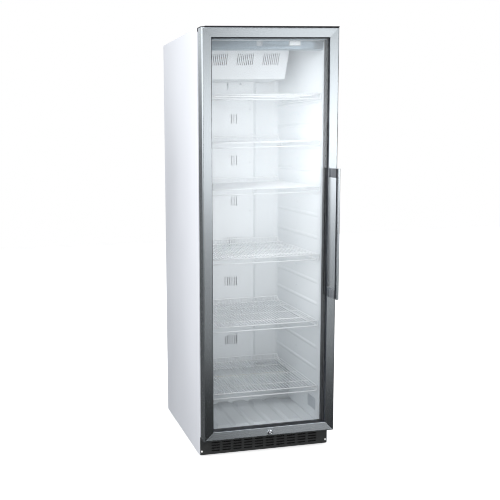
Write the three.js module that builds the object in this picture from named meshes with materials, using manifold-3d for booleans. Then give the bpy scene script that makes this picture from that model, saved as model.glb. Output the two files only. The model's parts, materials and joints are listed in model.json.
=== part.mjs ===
// Upright glass-door bottle cooler, built as an assembly of separate parts.
// Millimetres. +X to the right, +Y to the back, +Z up. Y is 0 on the cabinet's front face
// inside the model, and the whole group is shifted so that its box is centred on the origin.

import * as THREE from "three";
import { mergeVertices } from "three/addons/utils/BufferGeometryUtils.js";
import Module from "manifold-3d";

const wasm = await Module();
wasm.setup();

// ---- driving dimensions -------------------------------------------------------------------

const WIDTH = 600;               // cabinet, outside
const HEIGHT = 1850;             // floor to top
const DEPTH = 558;               // cabinet without its door
const GROUND_GAP = 8;            // floor to the cabinet's lower edge
const SHEET = 1.5;               // outer steel sheet
const LINER = 1.5;               // inner plastic liner
const GAP = 0.3;                 // between pieces that touch

const HALF = WIDTH / 2;
const BOTTOM = GROUND_GAP;

const ROOM_HALF = 262;           // half the inside width
const ROOM_FLOOR = 106;
const ROOM_CEILING = 1800;
const ROOM_BACK = 490;
const STEP_FRONT = 330;          // the floor steps up here, over the machine bay
const STEP_TOP = 242;
const FLOOR_LIP = 14;            // raised front edge of the inner floor

const BAY_FRONT = 372;           // machine bay at the bottom of the back
const BAY_CEILING = 198;
const DUCT_FLOOR_FOAM = 62;      // underside of the floor's insulation

const DOOR_HALF = HALF - 1;
const DOOR_BOTTOM = 95;
const DOOR_TOP = 1844;
const DOOR_FRONT = -62;
const DOOR_BACK = -12;
const FRAME_FACE = 41;           // visible width of the door frame
const FRAME_REAR = 32;           // width of the frame behind the glass rebate
const FRAME_ROUND = 6;
const REBATE = 8;                // frame front face to outer pane
const PANE = 4;
const PANE_SPACE = 12;
const BORDER_ROUND = 24;         // inside corner of the black inner frame

const PIVOT_X = -285;
const PIVOT_Y = -35;
const PIN_R = 5;

const HANDLE_X0 = 273.5;
const HANDLE_X1 = 285;
const HANDLE_FRONT = -115;
const HANDLE_BAR_DEPTH = 17;
const HANDLE_Z0 = 700;
const HANDLE_Z1 = 1260;
const POST_HEIGHT = 38;

const LOCK_Z = 113;
const LOCK_R = 7;
const CAM_LENGTH = 29;
const CAM_FRONT = -33;
const CAM_THICK = 3;

const SHELF_PITCH = 100;
const SHELF_TOPS = [1580, 1380, 1180, 880, 580, 280];
const SHELF_HALF = 257;
const SHELF_FRONT = 8;
const SHELF_BACK = 428;
const SHELF_DECK = 4;
const SHELF_APRON = 26;
const SHELF_SLOTS = 12;
const RIDGE_DROP = 28;           // shelf top down to the ridge it rests on
const RIDGES = 14;

const VENT_ROWS = [1487, 1287, 1087, 887, 687, 387];
const VENT_SHORT_ABOVE = 1000;     // rows above this height have only the right-hand three slots
const DUCT_FRONT = 440;
const DUCT_HALF = 118;

const COVER_HALF = 205;
const COVER_TOP_Y = 225;
const COVER_LOW_Y = 275;
const COVER_TOP = 1784;
const COVER_LOW = 1663;

const HEADER_FRONT = 6;
const HEADER_BACK = 46;
const HEADER_LOW = 1763;

const FOOT_X = 255;
const FOOT_Y = 45;
const ROLLER_Y = 505;
const ROLLER_R = 19;
const ROLLER_HALF = 10;
const AXLE_R = 4;

const FAN_R = 50;

// ---- materials ----------------------------------------------------------------------------

function material(color, roughness, metalness) {
  return new THREE.MeshStandardMaterial({ color, roughness, metalness });
}

const WHITE_PAINT = material(0xe9ebef, 0.45, 0.0);
const STAINLESS = material(0xb9bcbe, 0.35, 1.0);
const ZINC = material(0x9da1a5, 0.5, 0.9);
const BLACK_PLASTIC = material(0x141416, 0.55, 0.0);
const BLACK_METAL = material(0x1a1a1c, 0.5, 0.4);
const GREY_RUBBER = material(0x55585c, 0.8, 0.0);
const LINER_WHITE = material(0xe4eaee, 0.5, 0.0);
const FOAM = material(0xd8c48c, 0.9, 0.0);
const GLASS = material(0xcfe0e4, 0.05, 0.0);
const SHELF_WHITE = material(0xf4f5f6, 0.4, 0.1);
const HEADER_GREY = material(0x76828c, 0.5, 0.0);
const LAMP = material(0xfdfcf4, 0.3, 0.0);
const SWITCH_GREY = material(0xc9ccd0, 0.45, 0.0);
const ALUMINIUM = material(0xc4c7ca, 0.4, 0.9);
const COPPER = material(0xb06a3c, 0.35, 1.0);
const CHROME = material(0xd5d7d9, 0.15, 1.0);

// ---- solid helpers ------------------------------------------------------------------------

function toSolid(geometry) {
  const bare = geometry.clone();
  bare.deleteAttribute("normal");
  bare.deleteAttribute("uv");
  const merged = mergeVertices(bare, 1e-4);
  return new wasm.Manifold(new wasm.Mesh({
    numProp: 3,
    vertProperties: new Float32Array(merged.attributes.position.array),
    triVerts: new Uint32Array(merged.index.array),
  }));
}

function toGeometry(solid) {
  const mesh = solid.getMesh();
  const geometry = new THREE.BufferGeometry();
  geometry.setAttribute("position", new THREE.BufferAttribute(mesh.vertProperties, 3));
  geometry.setIndex(new THREE.BufferAttribute(mesh.triVerts, 1));
  return geometry;
}

function block(x0, x1, y0, y1, z0, z1) {
  const box = new THREE.BoxGeometry(x1 - x0, y1 - y0, z1 - z0);
  box.translate((x0 + x1) / 2, (y0 + y1) / 2, (z0 + z1) / 2);
  return toSolid(box);
}

function outline(points) {
  return new THREE.Shape(points.map(([u, v]) => new THREE.Vector2(u, v)));
}

function prism(shape, length, curveSegments = 6) {
  return new THREE.ExtrudeGeometry(shape, { depth: length, bevelEnabled: false, curveSegments });
}

// A shape drawn in X and Z, running along +Y from y0 to y1.
function alongY(shape, y0, y1, curveSegments) {
  const geometry = prism(shape, y1 - y0, curveSegments);
  geometry.rotateX(Math.PI / 2);
  geometry.translate(0, y1, 0);
  return toSolid(geometry);
}

// A shape drawn in Y and Z, running along +X from x0 to x1.
function alongX(shape, x0, x1, curveSegments) {
  const geometry = prism(shape, x1 - x0, curveSegments);
  geometry.rotateX(Math.PI / 2);
  geometry.rotateZ(Math.PI / 2);
  geometry.translate(x0, 0, 0);
  return toSolid(geometry);
}

// A shape drawn in X and Y, running along +Z from z0 to z1.
function alongZ(shape, z0, z1, curveSegments) {
  const geometry = prism(shape, z1 - z0, curveSegments);
  geometry.translate(0, 0, z0);
  return toSolid(geometry);
}

function rodZ(x, y, z0, z1, radius, sides = 20) {
  const rod = new THREE.CylinderGeometry(radius, radius, z1 - z0, sides);
  rod.rotateX(Math.PI / 2);
  rod.translate(x, y, (z0 + z1) / 2);
  return toSolid(rod);
}

function rodY(x, z, y0, y1, radius, sides = 20) {
  const rod = new THREE.CylinderGeometry(radius, radius, y1 - y0, sides);
  rod.translate(x, (y0 + y1) / 2, z);
  return toSolid(rod);
}

function rodX(y, z, x0, x1, radius, sides = 20) {
  const rod = new THREE.CylinderGeometry(radius, radius, x1 - x0, sides);
  rod.rotateZ(Math.PI / 2);
  rod.translate((x0 + x1) / 2, y, z);
  return toSolid(rod);
}

function join(...solids) {
  return solids.reduce((sum, solid) => sum.add(solid));
}

function cut(solid, ...tools) {
  return tools.reduce((rest, tool) => rest.subtract(tool), solid);
}

function mirrorX(solid) {
  return solid.mirror([1, 0, 0]);
}

function roundedRect(x0, x1, y0, y1, radius) {
  const shape = new THREE.Shape();
  shape.moveTo(x0 + radius, y0);
  shape.lineTo(x1 - radius, y0);
  shape.absarc(x1 - radius, y0 + radius, radius, -Math.PI / 2, 0, false);
  shape.lineTo(x1, y1 - radius);
  shape.absarc(x1 - radius, y1 - radius, radius, 0, Math.PI / 2, false);
  shape.lineTo(x0 + radius, y1);
  shape.absarc(x0 + radius, y1 - radius, radius, Math.PI / 2, Math.PI, false);
  shape.lineTo(x0, y0 + radius);
  shape.absarc(x0 + radius, y0 + radius, radius, Math.PI, 1.5 * Math.PI, false);
  return shape;
}

// ---- the assembly -------------------------------------------------------------------------

const cooler = new THREE.Group();

function place(name, solid, finish, parent = cooler) {
  const mesh = new THREE.Mesh(toGeometry(solid), finish);
  mesh.name = name;
  parent.add(mesh);
  return mesh;
}

// Outer steel shell: two sides folded round the front, a top, a back and a base pan.

const KICK_TOP = 92;
const KICK_FOLD = 16;

function sidePanel() {
  const wall = block(HALF - SHEET, HALF, 0, DEPTH, BOTTOM, HEIGHT);
  const frontFold = block(ROOM_HALF, HALF - SHEET, 0, SHEET, KICK_TOP, HEIGHT);
  const backFold = block(HALF - 16, HALF - SHEET, DEPTH - SHEET, DEPTH, BOTTOM, HEIGHT);
  return join(wall, frontFold, backFold);
}

function topPanel() {
  const half = HALF - SHEET - GAP;
  const roof = block(-half, half, SHEET + GAP, DEPTH - SHEET - GAP, HEIGHT - SHEET, HEIGHT);
  const foldHalf = ROOM_HALF - GAP;
  const frontFold = block(-foldHalf, foldHalf, 0, SHEET, ROOM_CEILING, HEIGHT);
  const bridge = block(-foldHalf, foldHalf, 0, SHEET + 2, HEIGHT - SHEET, HEIGHT);
  return join(roof, frontFold, bridge);
}

function backPanel() {
  const half = HALF - 16 - GAP;
  const wall = block(-half, half, DEPTH - SHEET, DEPTH, BAY_CEILING + 2, HEIGHT - SHEET - GAP);
  const beads = [-140, 0, 140].map((x) => (
    block(x - 15, x + 15, DEPTH - SHEET - 0.6, DEPTH - SHEET + 0.2, 320, 1700)
  ));
  return join(wall, ...beads);
}

function basePan() {
  const half = HALF - SHEET - GAP;
  const floor = block(-half, half, SHEET + 2, DEPTH - SHEET - GAP, BOTTOM, BOTTOM + 2);
  const upstand = block(half - 2, half, SHEET + 2, DEPTH - SHEET - GAP, BOTTOM, BOTTOM + 24);
  const parts = [floor, upstand, mirrorX(upstand)];
  const holes = [];
  for (const side of [-1, 1]) {
    const x = side * FOOT_X;
    holes.push(rodZ(x, FOOT_Y, BOTTOM - 1, BOTTOM + 4, 5, 16));
    holes.push(block(x - 13, x + 13, ROLLER_Y - 23, ROLLER_Y + 23, BOTTOM - 1, BOTTOM + 3));
  }
  const pan = cut(join(...parts), ...holes);
  const forks = [];
  for (const side of [-1, 1]) {
    const x = side * FOOT_X;
    forks.push(block(x - 15, x - 13, ROLLER_Y - 20, ROLLER_Y + 20, BOTTOM, BOTTOM + 20));
    forks.push(block(x + 13, x + 15, ROLLER_Y - 20, ROLLER_Y + 20, BOTTOM, BOTTOM + 20));
    forks.push(rodX(ROLLER_Y, ROLLER_R, x - 17, x + 17, AXLE_R, 16));
  }
  return join(pan, ...forks);
}

place("side_panel_right", sidePanel(), WHITE_PAINT);
place("side_panel_left", mirrorX(sidePanel()), WHITE_PAINT);
place("top_panel", topPanel(), WHITE_PAINT);
place("back_panel", backPanel(), ZINC);
place("base_pan", basePan(), ZINC);

// Foamed insulation between the shell and the liner.

const FOAM_IN = ROOM_HALF + LINER + GAP;
const FOAM_OUT = HALF - SHEET - GAP;
const FOAM_FRONT = SHEET + GAP;
const FOAM_BACK = DEPTH - SHEET - 1;
const FOAM_TOP = HEIGHT - SHEET - GAP;

function floorFoam() {
  const under = ROOM_FLOOR - LINER - GAP;
  const riser = STEP_FRONT + LINER + GAP;
  const step = STEP_TOP - LINER - GAP;
  const half = FOAM_IN - GAP;
  return alongX(outline([
    [FOAM_FRONT, KICK_TOP + GAP],
    [KICK_FOLD + GAP, KICK_TOP + GAP],
    [KICK_FOLD + GAP, DUCT_FLOOR_FOAM],
    [BAY_FRONT, DUCT_FLOOR_FOAM],
    [BAY_FRONT, BAY_CEILING],
    [FOAM_BACK, BAY_CEILING],
    [FOAM_BACK, step],
    [riser, step],
    [riser, under],
    [FOAM_FRONT, under],
  ]), -half, half);
}

function sideFoam() {
  return block(FOAM_IN, FOAM_OUT, FOAM_FRONT, FOAM_BACK, KICK_TOP + GAP, FOAM_TOP);
}

// The roof and the back are foamed as one piece.
function rearFoam() {
  const low = ROOM_CEILING + LINER + GAP;
  const front = ROOM_BACK + LINER + GAP;
  const half = FOAM_IN - GAP;
  return alongX(outline([
    [FOAM_FRONT, low],
    [front, low],
    [front, STEP_TOP],
    [FOAM_BACK, STEP_TOP],
    [FOAM_BACK, FOAM_TOP],
    [FOAM_FRONT, FOAM_TOP],
  ]), -half, half);
}

place("insulation_right", sideFoam(), FOAM);
place("insulation_left", mirrorX(sideFoam()), FOAM);
place("insulation_rear", rearFoam(), FOAM);
place("insulation_floor", floorFoam(), FOAM);

// One thermoformed liner: walls with shelf ridges, a ribbed floor and a step over the bay.

const RIB_PITCH = 84;
const RIB_HEIGHT = 9;

function shelfRidge(top) {
  const z = top - RIDGE_DROP;
  const section = outline([
    [ROOM_HALF + 0.5, z - 9],
    [ROOM_HALF - 3.5, z - 4],
    [ROOM_HALF - 4, z - 1],
    [ROOM_HALF - 3, z],
    [ROOM_HALF + 0.5, z],
  ]);
  return alongY(section, 34, ROOM_BACK - 12);
}

function floorRib(x) {
  const flat = 26;
  const foot = 36;
  const low = ROOM_FLOOR - 0.5;
  const top = ROOM_FLOOR + RIB_HEIGHT;
  const body = alongY(outline([
    [x - foot, low],
    [x + foot, low],
    [x + flat, top],
    [x - flat, top],
  ]), 46, STEP_FRONT + 0.5);
  const slope = alongX(outline([
    [20, top + 5],
    [20, low - 1],
    [46, low - 1],
    [70, top + 5],
  ]), x - foot - 1, x + foot + 1);
  return cut(body, slope);
}

function innerLiner() {
  const half = ROOM_HALF + LINER;
  const front = SHEET + GAP;
  const shell = alongX(outline([
    [front, ROOM_FLOOR - LINER],
    [STEP_FRONT + LINER, ROOM_FLOOR - LINER],
    [STEP_FRONT + LINER, STEP_TOP - LINER],
    [ROOM_BACK + LINER, STEP_TOP - LINER],
    [ROOM_BACK + LINER, ROOM_CEILING + LINER],
    [front, ROOM_CEILING + LINER],
  ]), -half, half);
  const room = alongX(outline([
    [front - 1, ROOM_FLOOR],
    [STEP_FRONT, ROOM_FLOOR],
    [STEP_FRONT, STEP_TOP],
    [ROOM_BACK, STEP_TOP],
    [ROOM_BACK, ROOM_CEILING],
    [front - 1, ROOM_CEILING],
  ]), -ROOM_HALF, ROOM_HALF);
  const lip = alongX(outline([
    [front, ROOM_FLOOR - 0.5],
    [24, ROOM_FLOOR - 0.5],
    [8, ROOM_FLOOR + FLOOR_LIP],
    [front, ROOM_FLOOR + FLOOR_LIP],
  ]), -ROOM_HALF - 0.5, ROOM_HALF + 0.5);
  const parts = [cut(shell, room), lip];
  const lowest = SHELF_TOPS[SHELF_TOPS.length - 1];
  for (let i = 0; i < RIDGES; i += 1) {
    const ridge = shelfRidge(lowest + i * SHELF_PITCH);
    parts.push(ridge, mirrorX(ridge));
  }
  for (let i = -2; i <= 2; i += 1) {
    parts.push(floorRib(i * RIB_PITCH));
  }
  return join(...parts);
}

function ductPanel() {
  const sheet = 2;
  const foot = ROOM_BACK - GAP;
  const spread = 32;
  const outer = [
    [-DUCT_HALF - spread, foot],
    [-DUCT_HALF, DUCT_FRONT],
    [DUCT_HALF, DUCT_FRONT],
    [DUCT_HALF + spread, foot],
    [DUCT_HALF + spread - 4, foot],
    [DUCT_HALF - sheet, DUCT_FRONT + sheet],
    [-DUCT_HALF + sheet, DUCT_FRONT + sheet],
    [-DUCT_HALF - spread + 4, foot],
  ];
  const panel = alongZ(outline(outer), STEP_TOP + GAP, COVER_LOW - GAP);
  const slots = [];
  for (const z of VENT_ROWS) {
    for (let i = z > VENT_SHORT_ABOVE ? 3 : 0; i < 6; i += 1) {
      const x = (i - 2.5) * 12;
      slots.push(block(x - 2.5, x + 2.5, DUCT_FRONT - 1, DUCT_FRONT + sheet + 1, z - 23, z + 23));
    }
  }
  return cut(panel, join(...slots));
}

place("inner_liner", innerLiner(), LINER_WHITE);
place("duct_panel", ductPanel(), LINER_WHITE);

// Evaporator under the ceiling, behind a sloping slotted cover, with its fan.

const EVAP_FAN_Z = 1728;
const EVAP_FAN_Y = 283;

function evaporatorCover() {
  const wall = 2;
  const top = ROOM_CEILING - GAP;
  const back = DUCT_FRONT + 46;
  const profile = (inset, extra) => outline([
    [COVER_TOP_Y + inset, top + extra],
    [COVER_TOP_Y + inset, COVER_TOP],
    [COVER_LOW_Y + inset, COVER_LOW + inset],
    [back + extra, COVER_LOW + inset],
    [back + extra, top + extra],
  ]);
  const shell = alongX(profile(0, 0), -COVER_HALF, COVER_HALF);
  const hollow = alongX(profile(wall, 5), -COVER_HALF + wall, COVER_HALF - wall);
  const slots = [];
  for (const group of [-123, 0, 123]) {
    for (let i = 0; i < 9; i += 1) {
      const x = group + (i - 4) * 9;
      slots.push(block(x - 2.2, x + 2.2, COVER_TOP_Y - 2, COVER_LOW_Y + 2, 1725, 1773));
    }
  }
  return cut(shell, hollow, join(...slots));
}

function finnedBlock(x0, x1, y0, y1, z0, z1, fins, finThick) {
  const pitch = (x1 - x0 - finThick) / (fins - 1);
  const grooves = [];
  for (let i = 0; i < fins - 1; i += 1) {
    const a = x0 + i * pitch + finThick;
    const b = x0 + (i + 1) * pitch;
    grooves.push(block(a, b, y0 - 1, y0 + (y1 - y0) * 0.4, z0 - 1, z1 + 1));
  }
  return cut(block(x0, x1, y0, y1, z0, z1), join(...grooves));
}

// A fan with its axle along Y. The blades are flat plates, pitched, fused to the hub.
function fanBlades(blades) {
  const hub = rodY(0, 0, 0, 14, 15, 14);
  const parts = [hub];
  for (let i = 0; i < blades; i += 1) {
    const blade = new THREE.BoxGeometry(34, 1.6, 26);
    blade.translate(30, 0, 0);
    blade.applyMatrix4(new THREE.Matrix4().makeRotationX(0.42));
    blade.applyMatrix4(new THREE.Matrix4().makeTranslation(0, 7, 0));
    blade.applyMatrix4(new THREE.Matrix4().makeRotationY((2 * Math.PI * i) / blades));
    parts.push(toSolid(blade));
  }
  return join(...parts);
}

function evaporatorMotor() {
  const y0 = EVAP_FAN_Y + 14 + 1;
  const can = rodY(0, EVAP_FAN_Z, y0, y0 + 30, 22, 20);
  const strap = block(-14, 14, y0 + 26, y0 + 29, EVAP_FAN_Z, ROOM_CEILING - GAP);
  const foot = block(-14, 14, y0 + 8, y0 + 29, ROOM_CEILING - GAP - 2, ROOM_CEILING - GAP);
  const shaft = rodY(0, EVAP_FAN_Z, y0 - 1 + GAP, y0 + 2, 2, 8);
  return join(can, strap, foot, shaft);
}

place("evaporator_cover", evaporatorCover(), LINER_WHITE);
place("evaporator_coil", finnedBlock(-180, 180, 345, 425, 1682, 1780, 25, 2.4), ALUMINIUM);
place("evaporator_motor", evaporatorMotor(), BLACK_METAL);
place("evaporator_fan", fanBlades(5), BLACK_PLASTIC).position.set(0, EVAP_FAN_Y, EVAP_FAN_Z);

// Header across the top of the opening, with the lamp, the rocker switch and the dial.

const LAMP_X0 = 108;
const LAMP_X1 = 156;
const SWITCH_X = -26;
const CONTROL_Z = 1788;
const DIAL_X = -235;
const DIAL_R = 11;

function headerFascia() {
  const top = ROOM_CEILING - GAP;
  const body = alongX(outline([
    [HEADER_FRONT, HEADER_LOW + 3],
    [HEADER_FRONT + 3, HEADER_LOW],
    [HEADER_BACK - 3, HEADER_LOW],
    [HEADER_BACK, HEADER_LOW + 3],
    [HEADER_BACK, top],
    [HEADER_FRONT, top],
  ]), -ROOM_HALF + GAP, ROOM_HALF - GAP);
  const lampSeat = block(LAMP_X0, LAMP_X1, HEADER_FRONT - 1, HEADER_FRONT + 8,
    CONTROL_Z - 8.5, CONTROL_Z + 8.5);
  const switchSeat = block(SWITCH_X - 11, SWITCH_X + 11, HEADER_FRONT - 1, HEADER_FRONT + 12,
    CONTROL_Z - 8.5, CONTROL_Z + 8.5);
  const dialHole = rodZ(DIAL_X, 26, HEADER_LOW - 1, HEADER_LOW + 10, 3.4, 16);
  return cut(body, lampSeat, switchSeat, dialHole);
}

function lampLens() {
  const shape = roundedRect(LAMP_X0 + GAP, LAMP_X1 - GAP, CONTROL_Z - 8.2, CONTROL_Z + 8.2, 3);
  return alongY(shape, HEADER_FRONT - 2, HEADER_FRONT + 7.5, 3);
}

// The rocker's front is two flats that meet at its pivot line.
function rocker() {
  return alongX(outline([
    [3, -7],
    [-1.2, -7],
    [0.3, 0],
    [-2.6, 7],
    [3, 7],
    [7.5, 0],
  ]), -9.8, 9.8);
}

function dial() {
  const knob = rodZ(0, 0, -6, -0.4, DIAL_R, 28);
  const grip = block(-1.6, 1.6, -DIAL_R + 1, DIAL_R - 1, -9, -5.5);
  const stem = rodZ(0, 0, -1, 9, 3, 16);
  return join(knob, grip, stem);
}

place("header_fascia", headerFascia(), HEADER_GREY);
place("lamp_lens", lampLens(), LAMP);
place("light_switch", rocker(), SWITCH_GREY).position.set(SWITCH_X, HEADER_FRONT + 1, CONTROL_Z);
place("thermostat_dial", dial(), SWITCH_GREY).position.set(DIAL_X, 26, HEADER_LOW);

// Six lift-out shelves: a slotted deck with a lip down at the front and up at the back.

function shelf() {
  const deck = block(-SHELF_HALF, SHELF_HALF, SHELF_FRONT, SHELF_BACK, -SHELF_DECK, 0);
  const apron = block(-SHELF_HALF + 2, SHELF_HALF - 2, SHELF_FRONT, SHELF_FRONT + 5,
    -SHELF_APRON, -SHELF_DECK + 1);
  const stop = block(-SHELF_HALF + 12, SHELF_HALF - 12, SHELF_BACK - 5, SHELF_BACK, -1, 24);
  const rails = [-1, 1].map((side) => block(
    side * (SHELF_HALF - 4) - 2.5, side * (SHELF_HALF - 4) + 2.5,
    SHELF_FRONT + 30, SHELF_BACK - 30, -RIDGE_DROP + GAP, -SHELF_DECK + 1,
  ));
  const pitch = (2 * SHELF_HALF - 24) / SHELF_SLOTS;
  const slots = [];
  for (let i = 0; i < SHELF_SLOTS; i += 1) {
    const x = -SHELF_HALF + 12 + (i + 0.5) * pitch;
    slots.push(block(x - pitch * 0.36, x + pitch * 0.36, SHELF_FRONT + 14, SHELF_BACK - 14, -9, 5));
  }
  return cut(join(deck, apron, stop, ...rails), join(...slots));
}

const shelfSolid = shelf();
SHELF_TOPS.forEach((top, index) => {
  place(`shelf_${index + 1}`, shelfSolid, SHELF_WHITE).position.z = top;
});

// Slotted kick grille with its two screws.

const KICK_HALF = HALF - SHEET - GAP;
const KICK_SLOT_ROWS = 4;
const KICK_SLOT_LOW = 24.5;        // middle of the lowest row of slots
const KICK_SLOT_PITCH = 12.3;
const KICK_SLOT_COLUMNS = 10;
const KICK_COLUMN_PITCH = 50.5;
const KICK_SCREW_X = 291;
const KICK_SCREW_Z = 26;

function kickGrille() {
  const plate = block(-KICK_HALF, KICK_HALF, 0, 2, BOTTOM + 1, KICK_TOP - GAP);
  const topFold = block(-KICK_HALF, KICK_HALF, 0, KICK_FOLD, KICK_TOP - GAP - 2, KICK_TOP - GAP);
  const tools = [];
  for (let row = 0; row < KICK_SLOT_ROWS; row += 1) {
    const z = KICK_SLOT_LOW + row * KICK_SLOT_PITCH;
    for (let column = 0; column < KICK_SLOT_COLUMNS; column += 1) {
      const x = (column - (KICK_SLOT_COLUMNS - 1) / 2) * KICK_COLUMN_PITCH;
      tools.push(block(x - 19.5, x + 19.5, -1, 3, z - 3.2, z + 3.2));
    }
  }
  const screwHoles = [-1, 1].map((side) => (
    rodY(side * KICK_SCREW_X, KICK_SCREW_Z, -1, 3, 2.6, 12)
  ));
  return cut(join(plate, topFold), join(...tools), ...screwHoles);
}

function kickScrew() {
  const head = rodY(0, 0, -2.6, -GAP, 4.6, 18);
  const shank = rodY(0, 0, -1, 10, 2, 12);
  return join(head, shank);
}

place("kick_grille", kickGrille(), BLACK_METAL);
for (const [name, side] of [["kick_screw_left", -1], ["kick_screw_right", 1]]) {
  place(name, kickScrew(), CHROME).position.set(side * KICK_SCREW_X, 0, KICK_SCREW_Z);
}

// Hinge brackets, each with its pin.

function hingePlate(z0, z1) {
  const shape = new THREE.Shape();
  shape.moveTo(-HALF + 2, -GAP);
  shape.lineTo(-HALF + 2, PIVOT_Y);
  shape.absarc(PIVOT_X, PIVOT_Y, PIVOT_X + HALF - 2, Math.PI, 2 * Math.PI, false);
  shape.lineTo(-HALF + 44, -12);
  shape.lineTo(-HALF + 44, -GAP);
  return alongZ(shape, z0, z1, 10);
}

function hingeTop() {
  const plate = hingePlate(DOOR_TOP + 1.2, HEIGHT - 1.2);
  const leg = block(-HALF + 2, -HALF + 44, -3, -GAP, DOOR_TOP - 10, HEIGHT - 1.2);
  const pin = rodZ(PIVOT_X, PIVOT_Y, DOOR_TOP - 7, DOOR_TOP + 2, PIN_R);
  return join(plate, leg, pin);
}

function hingeBottom() {
  const plate = hingePlate(DOOR_BOTTOM - 8, DOOR_BOTTOM - 4);
  const leg = block(-HALF + 2, -HALF + 44, -3.2, -GAP, 46, DOOR_BOTTOM - 4);
  const pin = rodZ(PIVOT_X, PIVOT_Y, DOOR_BOTTOM - 5, DOOR_BOTTOM + 6, PIN_R);
  const washer = rodZ(PIVOT_X, PIVOT_Y, DOOR_BOTTOM - 5, DOOR_BOTTOM - GAP, 8);
  return join(plate, leg, pin, washer);
}

place("hinge_bracket_top", hingeTop(), BLACK_METAL);
place("hinge_bracket_bottom", hingeBottom(), BLACK_METAL);

// Bracket under the door. Its slot takes the lock's cam all the way round from level to down.

function lockKeeper() {
  const left = -22;
  const right = 28;
  const top = 88.5;
  const plate = block(left, right, -42, -GAP, top - 2.5, top);
  const leg = block(left, right, -2.8, -GAP, 66, top);
  const slotLeft = -7;
  const slotRight = 20;
  const slot = block(slotLeft, slotRight, CAM_FRONT - 2, CAM_FRONT + CAM_THICK + 2, top - 4, top + 1);
  return cut(join(plate, leg), slot);
}

place("lock_keeper", lockKeeper(), BLACK_METAL);

// Levelling feet at the front and rollers at the back.

function foot() {
  const pad = rodZ(0, 0, 0, 6, 17, 24);
  const shank = rodZ(0, 0, 5, 36, 4, 12);
  return join(pad, shank);
}

function roller() {
  const wheel = rodX(0, 0, -ROLLER_HALF, ROLLER_HALF, ROLLER_R, 24);
  return cut(wheel, rodX(0, 0, -ROLLER_HALF - 1, ROLLER_HALF + 1, AXLE_R + 0.5, 16));
}

for (const [suffix, side] of [["left", -1], ["right", 1]]) {
  place(`foot_${suffix}`, foot(), BLACK_PLASTIC).position.set(side * FOOT_X, FOOT_Y, 0);
  const wheel = place(`roller_${suffix}`, roller(), BLACK_PLASTIC);
  wheel.position.set(side * FOOT_X, ROLLER_Y, ROLLER_R);
}

// Machine bay: compressor, condenser, fan, drip tray, refrigerant line, inlet and rear cover.

const COMP_X = 130;
const COMP_Y = 458;
const PAN_TOP = BOTTOM + 2;

function compressor() {
  const profile = [
    [0, 0], [46, 0], [58, 8], [63, 26], [64, 60], [65.5, 64], [65.5, 70], [64, 74],
    [62, 104], [52, 124], [30, 134], [0, 136],
  ].map(([r, z]) => new THREE.Vector2(r, z));
  const can = new THREE.LatheGeometry(profile, 20);
  can.rotateX(Math.PI / 2);
  can.translate(COMP_X, COMP_Y, PAN_TOP + 10);
  const plate = alongZ(roundedRect(COMP_X - 92, COMP_X + 92, COMP_Y - 55, COMP_Y + 55, 12),
    PAN_TOP + 8, PAN_TOP + 11, 3);
  const posts = [];
  for (const [sx, sy] of [[-1, -1], [-1, 1], [1, -1], [1, 1]]) {
    posts.push(rodZ(COMP_X + sx * 80, COMP_Y + sy * 43, PAN_TOP + GAP, PAN_TOP + 12, 9, 8));
  }
  return join(toSolid(can), plate, ...posts);
}

function terminalCover() {
  const shape = roundedRect(COMP_Y - 26, COMP_Y + 26, PAN_TOP + 40, PAN_TOP + 96, 6);
  return alongX(shape, COMP_X + 67, COMP_X + 100, 3);
}

const COND_X0 = -220;
const COND_X1 = -80;
const COND_Z0 = PAN_TOP + GAP;
const COND_Z1 = 150;
const COND_FAN_X = (COND_X0 + COND_X1) / 2;
const COND_FAN_Z = 82;
const COND_FAN_Y = 466;

function condenserShroud() {
  const plate = block(COND_X0, COND_X1, 456, 459, COND_Z0, COND_Z1);
  const ring = rodY(COND_FAN_X, COND_FAN_Z, 456, 484, FAN_R + 7, 24);
  const bore = rodY(COND_FAN_X, COND_FAN_Z, 450, 490, FAN_R + 4, 24);
  const arms = [
    block(COND_FAN_X - 56, COND_FAN_X + 56, 484 - 0.5, 488, COND_FAN_Z - 4, COND_FAN_Z + 4),
    block(COND_FAN_X - 4, COND_FAN_X + 4, 484 - 0.5, 488, COND_FAN_Z - 56, COND_FAN_Z + 56),
  ];
  const shaftHole = rodY(COND_FAN_X, COND_FAN_Z, 480, 490, 3.2, 12);
  return cut(join(cut(join(plate, ring), bore), ...arms), shaftHole);
}

function condenserMotor() {
  const can = rodY(COND_FAN_X, COND_FAN_Z, 488 + GAP, 524, 24, 20);
  const cap = rodY(COND_FAN_X, COND_FAN_Z, 523, 530, 15, 20);
  const shaft = rodY(COND_FAN_X, COND_FAN_Z, COND_FAN_Y + 14 + GAP, 489, 2, 8);
  return join(can, cap, shaft);
}

function dripTray() {
  const z0 = 164;
  const outer = alongZ(roundedRect(COMP_X - 95, COMP_X + 95, 390, 540, 12), z0, z0 + 24, 3);
  const inner = alongZ(roundedRect(COMP_X - 92, COMP_X + 92, 393, 537, 9), z0 + 3, z0 + 30, 3);
  return cut(outer, inner);
}

// Copper line with a fat filter drier on it, from the compressor across to the condenser.
function refrigerantLine() {
  const path = new THREE.CatmullRomCurve3([
    new THREE.Vector3(64, 440, 60),
    new THREE.Vector3(40, 436, 62),
    new THREE.Vector3(12, 428, 80),
    new THREE.Vector3(-4, 426, 110),
    new THREE.Vector3(-24, 426, 132),
    new THREE.Vector3(-56, 426, 136),
    new THREE.Vector3(-79, 426, 136),
  ]);
  const section = new THREE.Shape();
  section.absarc(0, 0, 3.2, 0, 2 * Math.PI, false);
  const tube = new THREE.ExtrudeGeometry(section, {
    steps: 16, curveSegments: 3, bevelEnabled: false, extrudePath: path,
  });
  const drier = rodX(426, 135.6, -58, -34, 9, 14);
  return join(toSolid(tube), drier);
}

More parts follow.
